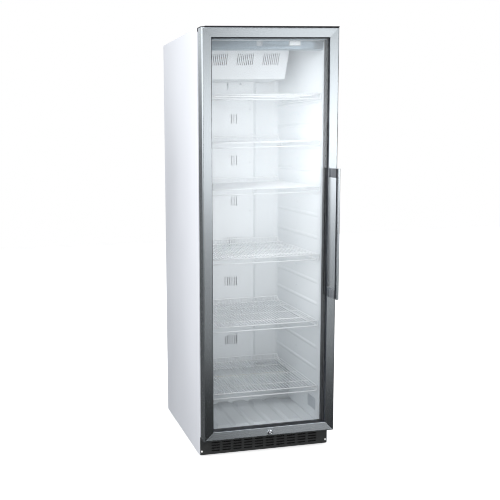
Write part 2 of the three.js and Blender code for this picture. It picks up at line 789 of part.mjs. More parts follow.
function powerInlet() {
  const body = block(218, 262, 530, DEPTH - SHEET - GAP, 30, 62);
  const socket = block(226, 254, 538, DEPTH + 5, 36, 56);
  const pins = [-7, 0, 7].map((x) => block(239 + x, 241 + x, 536, 552, 43, 49));
  return join(cut(body, socket), ...pins);
}

function rearCover() {
  const half = HALF - 16 - GAP;
  const plate = block(-half, half, DEPTH - SHEET, DEPTH, BOTTOM + 2, BAY_CEILING);
  const tools = [];
  for (let row = 0; row < 7; row += 1) {
    for (const x of [-150, -20, 110]) {
      tools.push(block(x - 50, x + 50, DEPTH - 4, DEPTH + 2, 42 + row * 18, 48 + row * 18));
    }
  }
  const window = block(222, 258, DEPTH - 4, DEPTH + 2, 33, 59);
  return cut(plate, join(...tools), window);
}

place("compressor", compressor(), BLACK_METAL);
place("terminal_cover", terminalCover(), BLACK_PLASTIC);
place("condenser", finnedBlock(COND_X0, COND_X1, 396, 455.7, COND_Z0, COND_Z1, 20, 2), ALUMINIUM);
place("condenser_shroud", condenserShroud(), BLACK_PLASTIC);
place("condenser_motor", condenserMotor(), BLACK_METAL);
place("condenser_fan", fanBlades(5), BLACK_PLASTIC)
  .position.set(COND_FAN_X, COND_FAN_Y, COND_FAN_Z);
place("drip_tray", dripTray(), BLACK_PLASTIC);
place("refrigerant_line", refrigerantLine(), COPPER);
place("power_inlet", powerInlet(), BLACK_PLASTIC);
place("rear_cover", rearCover(), ZINC);

// Plain data plate low on the right wall.
place("data_plate", block(ROOM_HALF - 1, ROOM_HALF - GAP, 40, 118, 150, 205), SWITCH_GREY);

// Door: mitred frame, double glazing, black inner frame, gasket, handle and lock.

const door = new THREE.Group();
cooler.add(door);

// Frame section: u runs from the frame's outer edge inwards, v from its front to its back.
function frameSection() {
  const depth = DOOR_BACK - DOOR_FRONT;
  const shape = new THREE.Shape();
  shape.moveTo(FRAME_ROUND, 0);
  shape.lineTo(FRAME_FACE - 2, 0);
  shape.lineTo(FRAME_FACE, 2);
  shape.lineTo(FRAME_FACE, REBATE - GAP);
  shape.lineTo(FRAME_REAR, REBATE - GAP);
  shape.lineTo(FRAME_REAR, depth);
  shape.lineTo(FRAME_ROUND / 2, depth);
  shape.lineTo(0, depth - FRAME_ROUND / 2);
  shape.lineTo(0, FRAME_ROUND);
  shape.absarc(FRAME_ROUND, FRAME_ROUND, FRAME_ROUND, Math.PI, 1.5 * Math.PI, false);
  return shape;
}

// One member of length, lying along X with its outer edge at z 0, mitred at both ends.
function frameMember(length) {
  const bar = prism(frameSection(), length, 4);
  bar.applyMatrix4(new THREE.Matrix4().set(
    0, 0, 1, -length / 2,
    0, 1, 0, DOOR_FRONT,
    1, 0, 0, 0,
    0, 0, 0, 1,
  ));
  bar.index = null;
  const flipped = flipFaces(bar);
  const half = length / 2 - GAP / 2;
  const keep = alongY(outline([
    [-half, 0],
    [half, 0],
    [half - 60, 60],
    [-half + 60, 60],
  ]), DOOR_FRONT - 5, DOOR_BACK + 5);
  return toSolid(flipped).intersect(keep);
}

// The member's axes swap handedness, so its triangles are turned round.
function flipFaces(geometry) {
  const position = geometry.attributes.position;
  const turned = new Float32Array(position.count * 3);
  for (let i = 0; i < position.count; i += 3) {
    for (const [to, from] of [[0, 0], [1, 2], [2, 1]]) {
      turned[(i + to) * 3] = position.getX(i + from);
      turned[(i + to) * 3 + 1] = position.getY(i + from);
      turned[(i + to) * 3 + 2] = position.getZ(i + from);
    }
  }
  const out = new THREE.BufferGeometry();
  out.setAttribute("position", new THREE.BufferAttribute(turned, 3));
  return out;
}

const DOOR_MID = (DOOR_TOP + DOOR_BOTTOM) / 2;
const DOOR_LONG = DOOR_TOP - DOOR_BOTTOM;
const LOCK_BARREL_R = LOCK_R + 2.6;

const rail = frameMember(2 * DOOR_HALF);
const stile = frameMember(DOOR_LONG);
const pinHoleLow = rodZ(PIVOT_X, PIVOT_Y, DOOR_BOTTOM - 1, DOOR_BOTTOM + 7, PIN_R + 0.4);
const pinHoleTop = rodZ(PIVOT_X, PIVOT_Y, DOOR_TOP - 8, DOOR_TOP + 1, PIN_R + 0.4);
const barrelHole = rodY(0, LOCK_Z, DOOR_FRONT - 1, CAM_FRONT - 3.5, LOCK_BARREL_R + GAP, 28);
const camPocket = block(-10, CAM_LENGTH + 5, CAM_FRONT - 4, CAM_FRONT + CAM_THICK + 2,
  DOOR_BOTTOM - 1, LOCK_Z + 10);

const railBottom = cut(rail.translate([0, 0, DOOR_BOTTOM]), pinHoleLow, barrelHole, camPocket);
const railTop = cut(rail.mirror([0, 0, 1]).translate([0, 0, DOOR_TOP]), pinHoleTop);
const stileLeft = cut(stile.rotate([0, 90, 0]).translate([-DOOR_HALF, 0, DOOR_MID]),
  pinHoleLow, pinHoleTop);
const stileRight = mirrorX(stile.rotate([0, 90, 0]).translate([-DOOR_HALF, 0, DOOR_MID]));

place("door_rail_bottom", railBottom, STAINLESS, door);
place("door_rail_top", railTop, STAINLESS, door);
place("door_stile_hinge", stileLeft, STAINLESS, door);
place("door_stile_handle", stileRight, STAINLESS, door);

const PANE_FRONT = DOOR_FRONT + REBATE;
const SPACER_FRONT = PANE_FRONT + PANE;
const INNER_PANE_FRONT = SPACER_FRONT + PANE_SPACE;

function windowRing(outset, inset, radius, y0, y1) {
  const outer = block(-DOOR_HALF + outset, DOOR_HALF - outset, y0, y1,
    DOOR_BOTTOM + outset, DOOR_TOP - outset);
  const hole = alongY(roundedRect(-DOOR_HALF + inset, DOOR_HALF - inset,
    DOOR_BOTTOM + inset, DOOR_TOP - inset, radius), y0 - 1, y1 + 1, 5);
  return cut(outer, hole);
}

function pane(y0, inset) {
  return block(-DOOR_HALF + inset, DOOR_HALF - inset, y0, y0 + PANE,
    DOOR_BOTTOM + inset, DOOR_TOP - inset);
}

// The black inner frame holds the glazing and carries the gasket's groove.
function innerFrame() {
  const y0 = INNER_PANE_FRONT + PANE + GAP;
  return windowRing(FRAME_REAR + GAP, FRAME_FACE + 2, BORDER_ROUND, y0, DOOR_BACK);
}

const GASKET_OUT = 12;
const GASKET_IN = 30;

place("glass_outer", pane(PANE_FRONT, FRAME_REAR + 1), GLASS, door);
place("glass_inner", pane(INNER_PANE_FRONT, FRAME_REAR + 1), GLASS, door);
place("glass_spacer", windowRing(FRAME_REAR + 1, FRAME_FACE + 3, BORDER_ROUND,
  SPACER_FRONT + GAP, INNER_PANE_FRONT - GAP), BLACK_PLASTIC, door);
place("door_inner_frame", innerFrame(), BLACK_PLASTIC, door);
place("door_gasket", windowRing(GASKET_OUT, GASKET_IN, 6, DOOR_BACK + GAP, -0.6),
  GREY_RUBBER, door);

// Handle: a flat bar on two end posts.

function handlePost(z0) {
  const front = HANDLE_FRONT + HANDLE_BAR_DEPTH + GAP;
  return alongZ(roundedRect(HANDLE_X0 - 5, HANDLE_X1 - 1, front, DOOR_FRONT - GAP, 2),
    z0, z0 + POST_HEIGHT, 3);
}

const handleBar = alongZ(roundedRect(HANDLE_X0, HANDLE_X1, HANDLE_FRONT,
  HANDLE_FRONT + HANDLE_BAR_DEPTH, 1.5), HANDLE_Z0, HANDLE_Z1, 3);

place("handle_bar", handleBar, STAINLESS, door);
place("handle_post_bottom", handlePost(HANDLE_Z0 + 1), BLACK_METAL, door);
place("handle_post_top", handlePost(HANDLE_Z1 - POST_HEIGHT - 1), BLACK_METAL, door);

// Key lock: a barrel fixed in the rail and a turning plug with its cam.

function lockBarrel() {
  const tube = rodY(0, LOCK_Z, DOOR_FRONT - 1.5, CAM_FRONT - 4, LOCK_BARREL_R, 28);
  const flange = rodY(0, LOCK_Z, DOOR_FRONT - 3, DOOR_FRONT - GAP, LOCK_BARREL_R + 2, 28);
  return cut(join(tube, flange), rodY(0, LOCK_Z, DOOR_FRONT - 6, CAM_FRONT, LOCK_R + 0.4, 24));
}

function lockPlug() {
  const plug = rodY(0, 0, DOOR_FRONT - 2, CAM_FRONT + 0.5, LOCK_R, 24);
  const keyway = block(-0.9, 0.9, DOOR_FRONT - 3, DOOR_FRONT + 8, -4.2, 4.2);
  const cam = alongY(roundedRect(-6, CAM_LENGTH, -6, 6, 4), CAM_FRONT, CAM_FRONT + CAM_THICK, 3);
  return join(cut(plug, keyway), cam);
}

place("lock_barrel", lockBarrel(), CHROME, door);
place("lock_plug", lockPlug(), CHROME, door).position.z = LOCK_Z;

// The box of the whole cooler, handle to back, is centred on the origin.
cooler.position.y = -(HANDLE_FRONT + DEPTH) / 2;

export default cooler;
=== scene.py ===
import json
from math import copysign, cos, pi, radians, sin, sqrt

import bmesh
import bpy
from mathutils import Matrix, Vector
from mathutils.geometry import tessellate_polygon


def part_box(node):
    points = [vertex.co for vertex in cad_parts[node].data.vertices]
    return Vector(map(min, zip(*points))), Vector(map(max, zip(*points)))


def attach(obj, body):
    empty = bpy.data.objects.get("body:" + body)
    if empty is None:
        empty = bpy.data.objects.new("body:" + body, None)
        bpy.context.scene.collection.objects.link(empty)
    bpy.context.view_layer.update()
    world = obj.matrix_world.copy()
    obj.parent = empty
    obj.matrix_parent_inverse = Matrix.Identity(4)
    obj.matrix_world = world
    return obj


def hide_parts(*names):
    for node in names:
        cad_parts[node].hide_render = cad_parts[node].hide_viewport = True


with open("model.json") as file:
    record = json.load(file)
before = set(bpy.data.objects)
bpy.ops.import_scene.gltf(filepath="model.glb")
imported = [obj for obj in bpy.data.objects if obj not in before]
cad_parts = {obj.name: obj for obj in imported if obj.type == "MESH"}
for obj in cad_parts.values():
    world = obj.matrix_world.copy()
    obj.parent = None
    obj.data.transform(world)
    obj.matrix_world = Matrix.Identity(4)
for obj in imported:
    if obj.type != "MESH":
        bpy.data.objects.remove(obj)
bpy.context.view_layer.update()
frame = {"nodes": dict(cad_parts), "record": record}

MM = 0.001

# ---- places read from the frame ----

SIDE_LO, SIDE_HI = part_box("side_panel_left")
FRONT_Y = SIDE_LO.y                      # front face of the cabinet


# ---- camera ----

CAMERA_PLACE = (-1.1617, FRONT_Y - 2.838, 1.4069)
CAMERA_TURN = (9.656, 6.847, -1.313)     # yaw, pitch and roll, in degrees
CAMERA_SHIFT = (0.28, -0.055)


def make_camera():
    data = bpy.data.cameras.new("camera")
    data.sensor_width = 36.0
    data.lens = 50.36
    data.shift_x, data.shift_y = CAMERA_SHIFT
    data.clip_start = 0.1
    data.clip_end = 60.0
    camera = bpy.data.objects.new("camera", data)
    bpy.context.collection.objects.link(camera)
    yaw, pitch, roll = (radians(a) for a in CAMERA_TURN)
    forward = Vector((sin(yaw) * cos(pitch), cos(yaw) * cos(pitch), -sin(pitch)))
    level = Vector((cos(yaw), -sin(yaw), 0.0))
    upright = level.cross(forward)
    right = cos(roll) * level + sin(roll) * upright
    up = cos(roll) * upright - sin(roll) * level
    turn = Matrix((right, up, -forward)).transposed()
    camera.matrix_world = Matrix.Translation(CAMERA_PLACE) @ turn.to_4x4()
    bpy.context.scene.camera = camera


make_camera()


# ---- material helpers ----

class Nodes:
    """A node tree with short calls for what the materials and the world share."""

    def __init__(self, name):
        self.material = bpy.data.materials.new(name)
        self.begin(self.material, "ShaderNodeOutputMaterial")

    def begin(self, owner, output):
        owner.use_nodes = True
        self.tree = owner.node_tree
        self.tree.nodes.clear()
        self.output = self.add(output)

    def add(self, kind, inputs=(), **settings):
        """A node with its settings, and its inputs set to a value or linked to a socket."""
        node = self.tree.nodes.new(kind)
        for key, value in settings.items():
            setattr(node, key, value)
        for key, value in dict(inputs).items():
            self.feed(node, key, value)
        return node

    def feed(self, node, key, value):
        socket = node.inputs[key]
        if isinstance(value, bpy.types.NodeSocket):
            self.tree.links.new(value, socket)
        elif socket.type == "RGBA":
            socket.default_value = (*value, 1.0)
        else:
            socket.default_value = value

    def surface(self, shader):
        self.feed(self.output, "Surface", shader.outputs[0])

    def principled(self, colour, roughness, metallic=0.0, **sockets):
        shader = self.add("ShaderNodeBsdfPrincipled", {
            "Base Color": colour, "Roughness": roughness, "Metallic": metallic})
        for key, value in sockets.items():
            self.feed(shader, key.replace("_", " "), value)
        self.surface(shader)
        return shader

    def noise(self, scale, detail=3.0, stretch=(1.0, 1.0, 1.0)):
        """Noise over the piece's own coordinates; scale is per metre."""
        coords = self.add("ShaderNodeTexCoord")
        mapping = self.add("ShaderNodeMapping", {"Scale": stretch,
                                                 "Vector": coords.outputs["Object"]})
        return self.add("ShaderNodeTexNoise", {
            "Scale": scale, "Detail": detail, "Vector": mapping.outputs["Vector"]}).outputs["Fac"]

    def tint(self, value, colour, dark, light, start=0.3, end=0.7):
        """The colour times dark to light, as value goes from start to end."""
        ramp = self.add("ShaderNodeValToRGB", {"Fac": value})
        for element, position, factor in zip(ramp.color_ramp.elements, (start, end), (dark, light)):
            element.position = position
            element.color = (*(min(1.0, c * factor) for c in colour), 1.0)
        return ramp.outputs["Color"]

    def span(self, value, low, high, start=0.3, end=0.7, kind="LINEAR"):
        """Maps value from start..end to low..high."""
        return self.add("ShaderNodeMapRange", {
            "Value": value, "From Min": start, "From Max": end, "To Min": low, "To Max": high,
        }, interpolation_type=kind).outputs["Result"]

    def ease(self, value, low, high, start, end):
        return self.span(value, low, high, start, end, "SMOOTHSTEP")

    def math(self, operation, first, *others):
        """The operation on first and each of the others in turn."""
        for other in others or (0.0,):
            first = self.add("ShaderNodeMath", {0: first, 1: other},
                             operation=operation).outputs["Value"]
        return first

    def times(self, *values):
        return self.math("MULTIPLY", *values)

    def plus(self, *values):
        return self.math("ADD", *values)

    def mix(self, share, first, second):
        return self.add("ShaderNodeMixShader", {0: share, 1: first.outputs[0],
                                                2: second.outputs[0]})

    def bump(self, shader, height, strength, distance):
        bump = self.add("ShaderNodeBump", {"Strength": strength, "Distance": distance,
                                           "Height": height})
        self.feed(shader, "Normal", bump.outputs["Normal"])


def uneven(name, colour, roughness, cloud, sheen=None, relief=None, metallic=0.0, **sockets):
    """A surface that is a little uneven: cloud is the scale and contrast of its colour, sheen
    the noise and range of its roughness, relief the noise, strength and depth of its bumps."""
    nodes = Nodes(name)
    shader = nodes.principled(colour, roughness, metallic, **sockets)
    scale, contrast = cloud
    clouds = nodes.noise(scale, 4.0)
    nodes.feed(shader, "Base Color", nodes.tint(clouds, colour, 1.0 - contrast, 1.0 + contrast))
    if sheen:
        noise, low, high = sheen
        nodes.feed(shader, "Roughness", nodes.span(nodes.noise(*noise), low, high))
    if relief:
        noise, strength, depth = relief
        nodes.bump(shader, nodes.noise(*noise), strength, depth)
    return nodes.material


# ---- materials ----

GRAIN_UV = "grain"                       # U runs across the brushing, V along it
STEEL = (0.56, 0.588, 0.61)
ZINC = (0.52, 0.54, 0.56)


def brushed_steel(name, grain):
    """grain is the axis the brushing runs along: 0, 1 or 2."""
    nodes = Nodes(name)
    shader = nodes.principled(STEEL, 0.25, 1.0, Anisotropic=0.92)
    tangent = nodes.add("ShaderNodeTangent", direction_type="UV_MAP", uv_map=GRAIN_UV)
    nodes.feed(shader, "Tangent", tangent.outputs["Tangent"])
    stretch = [1.0, 1.0, 1.0]
    stretch[grain] = 0.006
    fine = nodes.noise(1500.0, 2.0, stretch)
    stretch[grain] = 0.02
    broad = nodes.noise(260.0, 2.0, stretch)
    mixed = nodes.plus(nodes.times(fine, 0.88), nodes.times(broad, 0.12))
    nodes.feed(shader, "Base Color", nodes.tint(mixed, STEEL, 0.97, 1.03, 0.35, 0.65))
    nodes.feed(shader, "Roughness", nodes.span(mixed, 0.235, 0.265, 0.35, 0.65))
    nodes.bump(shader, fine, 0.02, 0.0001)
    return nodes.material


def galvanised():
    """Zinc-coated sheet: each flake of the coating has its own tone and gloss."""
    nodes = Nodes("zinc_sheet")
    shader = nodes.principled(ZINC, 0.42, 0.85)
    coords = nodes.add("ShaderNodeTexCoord")
    cells = nodes.add("ShaderNodeTexVoronoi", {"Scale": 90.0, "Vector": coords.outputs["Object"]})
    tone = nodes.add("ShaderNodeSeparateColor", {"Color": cells.outputs["Color"]})
    flake = tone.outputs["Red"]
    nodes.feed(shader, "Base Color", nodes.tint(flake, ZINC, 0.9, 1.08, 0.0, 1.0))
    nodes.feed(shader, "Roughness", nodes.span(flake, 0.34, 0.52, 0.0, 1.0))
    nodes.bump(shader, nodes.noise(60.0), 0.08, 0.0005)
    return nodes.material


def moulded(name, colour, roughness, grain=600.0, depth=0.12, contrast=0.05, metallic=0.0):
    """Moulded plastic: a fine pebble grain and a little unevenness in its gloss."""
    return uneven(name, colour, roughness, (14.0, contrast),
                  ((22.0, 4.0), roughness - 0.06, roughness + 0.08),
                  ((grain, 3.0), depth, 0.0003), metallic)


def painted_metal(name, colour, roughness):
    """Powder-coated steel: fine orange peel, faint rubs."""
    return uneven(name, colour, roughness, (40.0, 0.15),
                  ((30.0, 5.0), roughness - 0.06, roughness + 0.1),
                  ((1100.0, 2.0), 0.15, 0.0002), Coat_Weight=0.1, Coat_Roughness=0.35)


def bare_metal(name, colour, roughness, scale=200.0, contrast=0.06, metallic=1.0):
    return uneven(name, colour, roughness, (scale, contrast),
                  ((scale * 0.4, 4.0), roughness * 0.8, roughness * 1.3),
                  ((scale * 4.0, 3.0), 0.05, 0.0002), metallic)


def glass_material(tint, haze):
    """One face of a pane: clear through, a mirror share that grows at a slant, a faint film."""
    nodes = Nodes("glass")
    clear = nodes.add("ShaderNodeBsdfTransparent", {"Color": tint})
    gloss = nodes.add("ShaderNodeBsdfGlossy", {"Roughness": 0.02, "Color": (0.96, 0.98, 1.0)})
    film = nodes.add("ShaderNodeBsdfDiffuse", {"Color": (0.86, 0.9, 0.93)})
    slant = nodes.add("ShaderNodeLayerWeight", {"Blend": 0.5})
    grazing = nodes.math("POWER", slant.outputs["Facing"], 5.0)
    share = nodes.plus(nodes.times(grazing, 0.95), 0.045)
    smears = nodes.noise(4.0, 6.0, (1.0, 1.0, 0.4))
    dusty = nodes.mix(nodes.span(smears, haze * 0.5, haze * 1.5), clear, film)
    nodes.surface(nodes.mix(share, dusty, gloss))
    return nodes.material


FINISH = {
    "white_paint": uneven("white_paint", (0.80, 0.815, 0.86), 0.38, (3.0, 0.012),
                          ((5.0, 5.0, (1.0, 1.0, 0.35)), 0.32, 0.46),
                          ((700.0, 2.0), 0.05, 0.0002), Specular_IOR_Level=0.36),
    "stainless": brushed_steel("steel_upright", 2),
    "zinc_sheet": galvanised(),
    "black_plastic": moulded("black_plastic", (0.010, 0.010, 0.012), 0.5, contrast=0.2),
    "black_metal": painted_metal("black_metal", (0.022, 0.023, 0.024), 0.5),
    "gasket_rubber": moulded("gasket_rubber", (0.045, 0.046, 0.05), 0.62, 900.0, 0.1, 0.1),
    "liner_white": uneven("liner_white", (0.81, 0.832, 0.846), 0.36, (2.2, 0.015),
                          ((7.0, 4.0), 0.3, 0.44), ((16.0, 1.0), 0.08, 0.002)),
    "foam": uneven("foam", (0.72, 0.6, 0.32), 0.9, (80.0, 0.12), None,
                   ((500.0, 4.0), 0.5, 0.001)),
    "glass": glass_material((0.984, 0.988, 0.991), 0.002),
    "shelf_wire": moulded("shelf_wire", (0.86, 0.87, 0.88), 0.3, 400.0, 0.06, 0.02),
    "header_grey": moulded("header_grey", (0.41, 0.49, 0.55), 0.36, metallic=0.68),
    "lamp": uneven("lamp", (0.84, 0.87, 0.89), 0.25, (60.0, 0.02), None,
                   ((300.0, 3.0, (1.0, 1.0, 0.1)), 0.2, 0.0005),
                   Emission_Strength=0.12, Emission_Color=(1.0, 0.99, 0.95)),
    "switch_grey": moulded("switch_grey", (0.55, 0.58, 0.61), 0.4, contrast=0.03),
    "aluminium": bare_metal("aluminium", (0.62, 0.64, 0.66), 0.35),
    "copper": bare_metal("copper", (0.62, 0.30, 0.17), 0.32, 120.0, 0.15),
    "chrome": bare_metal("chrome", (0.72, 0.73, 0.75), 0.12, 90.0, 0.03),
}
STEEL_ACROSS = brushed_steel("steel_across", 0)
POST_GREY = painted_metal("post_grey", (0.18, 0.19, 0.205), 0.34)
KICK_BLACK = painted_metal("kick_black", (0.024, 0.025, 0.025), 0.5)
# near-black mat behind the kick grille: painted shade seen through its slots
SHADE_MAT_BLACK = moulded("shade_mat_black", (0.003, 0.003, 0.003), 0.8, contrast=0.3)
BEAD_BLACK = moulded("bead_black", (0.006, 0.009, 0.016), 0.35, contrast=0.2)
PALE_ZINC = bare_metal("pale_zinc", (0.86, 0.86, 0.85), 0.5, metallic=0.25)
BAR_BLACK = painted_metal("bar_black", (0.004, 0.006, 0.010), 0.42)
SLOT_OF = {row["node"]: row["material_slot"] for row in frame["record"]["subparts"]}


def dress_cad_nodes():
    for node, thing in frame["nodes"].items():
        thing.data.materials.clear()
        thing.data.materials.append(FINISH[SLOT_OF[node]])


dress_cad_nodes()


# ---- mesh helpers ----

BODY_OF = {node: body for body, nodes in frame["record"]["behaviour"]["bodies"].items()
           for node in nodes}


def make(name, build, slot_name, body, material=None, replaced=None, smooth_angle=35.0,
         grain=None):
    """A piece from the bmesh that build fills, with normals out and creases kept sharp.

    grain turns the brushing: its two functions of a point give U and V.
    """
    bm = bmesh.new()
    build(bm)
    bmesh.ops.recalc_face_normals(bm, faces=bm.faces)
    mesh = bpy.data.meshes.new(name)
    bm.to_mesh(mesh)
    bm.free()
    mesh.shade_smooth()
    mesh.set_sharp_from_angle(angle=radians(smooth_angle))
    if grain:
        layer = mesh.uv_layers.new(name=GRAIN_UV)
        for loop in mesh.loops:
            point = mesh.vertices[loop.vertex_index].co
            layer.data[loop.index].uv = [axis(point) for axis in grain]
    mesh.materials.append(material or FINISH[slot_name])
    piece = bpy.data.objects.new(name, mesh)
    bpy.context.collection.objects.link(piece)
    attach(piece, body)
    if replaced:
        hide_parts(replaced)
    return piece


def remake(node, name, build, material=None, slot_name=None, **options):
    """A finer piece in place of a CAD node, on its body and in its slot."""
    return make(name, build, slot_name or SLOT_OF[node], BODY_OF[node], material, node, **options)


def soften(node, width, material=None):
    """A copy of a CAD node with its edges rounded by width, in place of the node."""
    def build(bm):
        bm.from_mesh(frame["nodes"][node].data)
        bmesh.ops.remove_doubles(bm, verts=bm.verts, dist=1e-6)
        bmesh.ops.dissolve_limit(bm, angle_limit=radians(1.0), verts=bm.verts, edges=bm.edges)
        edges = [e for e in bm.edges
                 if len(e.link_faces) == 2 and e.calc_face_angle(0.0) > radians(28.0)]
        bmesh.ops.bevel(bm, geom=edges, offset=width, segments=2, profile=0.5,
                        affect="EDGES", clamp_overlap=True)

    remake(node, f"{node}_soft", build, material, smooth_angle=50.0)


def middle(node):
    lo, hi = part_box(node)
    return (lo + hi) / 2


def at_x(x):
    """Places a section's u, v at this x. at_y and at_z do the same for y and z."""
    return lambda u, v: Vector((x, u, v))


def at_y(y):
    return lambda u, v: Vector((u, y, v))


def at_z(z):
    return lambda u, v: Vector((u, v, z))


def rounded(points, radius, steps=5, closed=False):
    """A polyline's points with each corner turned into an arc-like bend."""
    points = [Vector(point) for point in points]
    count = len(points)
    out = []
    for i, here in enumerate(points):
        if not closed and i in (0, count - 1):
            out.append(here)
            continue
        into = points[(i - 1) % count] - here
        away = points[(i + 1) % count] - here
        reach = min(radius, into.length * 0.45, away.length * 0.45)
        a = here + into.normalized() * reach
        b = here + away.normalized() * reach
        for k in range(steps + 1):
            t = k / steps
            out.append(a * (1 - t) ** 2 + here * 2 * t * (1 - t) + b * t ** 2)
    return out


def add_skin(bm, outlines, closed=False):
    """Joins outlines of equal length one after another; open ends are capped."""
    rings = [[bm.verts.new(point) for point in outline] for outline in outlines]
    count = len(rings[0])
    for here, after in zip(rings, rings[1:] + (rings[:1] if closed else [])):
        for i in range(count):
            j = (i + 1) % count
            bm.faces.new((here[i], here[j], after[j], after[i]))
    if not closed:
        bm.faces.new(rings[0][::-1])
        bm.faces.new(rings[-1])


def add_tube(bm, path, radius, sides=8, closed=False):
    """Sweeps a round section along path. Open ends are capped."""
    count = len(path)
    rings = []
    side = None
    for i, here in enumerate(path):
        before = path[(i - 1) % count] if closed or i > 0 else here
        after = path[(i + 1) % count] if closed or i < count - 1 else here
        along = (after - before).normalized()
        if side is None:
            seed = Vector((0, 0, 1)) if abs(along.z) < 0.9 else Vector((1, 0, 0))
            side = along.cross(seed).normalized()
        side = (side - along * side.dot(along)).normalized()
        other = along.cross(side)
        angles = [2 * pi * k / sides for k in range(sides)]
        rings.append([here + radius * (cos(a) * side + sin(a) * other) for a in angles])
    add_skin(bm, rings, closed)


def add_grid(bm, columns, rows, point):
    """A sheet of quads through point(i, j)."""
    verts = [[bm.verts.new(point(i, j)) for j in range(rows + 1)] for i in range(columns + 1)]
    for i in range(columns):
        for j in range(rows):
            bm.faces.new((verts[i][j], verts[i + 1][j], verts[i + 1][j + 1], verts[i][j + 1]))


def add_prism(bm, section, *places):
    """Joins copies of a closed section, each placed by its own function, and caps them."""
    add_skin(bm, [[place(u, v) for u, v in section] for place in places])


def rect(u0, u1, v0, v1):
    return [(u0, v0), (u1, v0), (u1, v1), (u0, v1)]


def add_box(bm, lo, hi):
    add_prism(bm, rect(lo[0], hi[0], lo[1], hi[1]), at_z(lo[2]), at_z(hi[2]))


def add_lathe(bm, profile, place, steps=32, closed=False):
    """Turns (radius, height) pairs; place(x, y, height) puts a point in the frame."""
    rings = []
    for radius, height in profile:
        if radius < 1e-7:
            rings.append([bm.verts.new(place(0.0, 0.0, height))])
            continue
        angles = [2 * pi * k / steps for k in range(steps)]
        rings.append([bm.verts.new(place(radius * cos(a), radius * sin(a), height))
                      for a in angles])
    for low, high in zip(rings, rings[1:] + (rings[:1] if closed else [])):
        for k in range(steps):
            n = (k + 1) % steps
            if len(low) == 1:
                bm.faces.new((low[0], high[n], high[k]))
            elif len(high) == 1:
                bm.faces.new((low[k], low[n], high[0]))
            else:
                bm.faces.new((low[k], low[n], high[n], high[k]))
    for ring in () if closed else (rings[0], rings[-1]):
        if len(ring) > 1:
            bm.faces.new(ring)


def arc(cu, cv, radius, start, end, steps=6):
    """Points of an arc from start to end degrees."""
    angles = [radians(start + (end - start) * k / steps) for k in range(steps + 1)]
    return [(cu + radius * cos(a), cv + radius * sin(a)) for a in angles]


def soft_rect(u0, u1, v0, v1, radius, steps=5):
    corners = ((u1 - radius, v0 + radius, 270), (u1 - radius, v1 - radius, 0),
               (u0 + radius, v1 - radius, 90), (u0 + radius, v0 + radius, 180))
    return [point for u, v, start in corners
            for point in arc(u, v, radius, start, start + 90, steps)]


def slot(x, z, half_width, half_height, radius, steps=3):
    return soft_rect(x - half_width, x + half_width, z - half_height, z + half_height, radius,
                     steps)


def add_plate(bm, outline, near, far, holes=()):
    """A sheet with holes: near(u, v) and far(u, v) place its two faces."""
    loops = [outline, *holes]
    flat = [point for loop in loops for point in loop]
    faces = tessellate_polygon([[Vector((u, v, 0.0)) for u, v in loop] for loop in loops])
    front = [bm.verts.new(near(u, v)) for u, v in flat]
    back = [bm.verts.new(far(u, v)) for u, v in flat]
    for a, b, c in faces:
        bm.faces.new((front[a], front[b], front[c]))
        bm.faces.new((back[c], back[b], back[a]))
    start = 0
    for loop in loops:
        count = len(loop)
        for i in range(count):
            j = (i + 1) % count
            bm.faces.new((front[start + i], front[start + j], back[start + j], back[start + i]))
        start += count


CORNERS = ((1, False), (1, True), (-1, True), (-1, False))  # of the door: side, and if at the top


def window_outlines(section, corners=(0, 1, 2, 3)):
    """A section at corners of the door: its points are (side, low, top inset, y)."""
    return [[Vector((sign * (DOOR_X - side), y, DOOR_Z1 - high if top else DOOR_Z0 + low))
             for side, low, high, y in section] for sign, top in (CORNERS[i] for i in corners)]


def add_window_ring(bm, section):
    """Takes a section of (inset, y) points right round the door's window."""
    add_skin(bm, window_outlines([(u, u, u, v) for u, v in section]), closed=True)


def add_screw(bm, centre, normal, radius, height=None):
    """A low pan-head screw with a round socket; its head stands along normal."""
    height = height or radius * 0.45
    turn = Vector(normal).to_track_quat("Z", "Y").to_matrix()
    spot = Vector(centre)
    rim = [(radius, 0.0), (radius, height * 0.35), (radius * 0.86, height * 0.8),
           (radius * 0.6, height), (radius * 0.42, height)]
    add_lathe(bm, rim + [(radius * 0.38, height * 0.2), (0.0, height * 0.15)],
              lambda x, y, h: spot + turn @ Vector((x, y, h)), steps=18)


# ---- wire shelves ----

ROD = 2.7 * MM
WIRE = 1.5 * MM
SHELF_RISE = 24 * MM                     # rear stop above, front loop below the deck
SHELF_BEND = 10 * MM
STOP_INSET = 12 * MM
SHELF_WIRES = 32


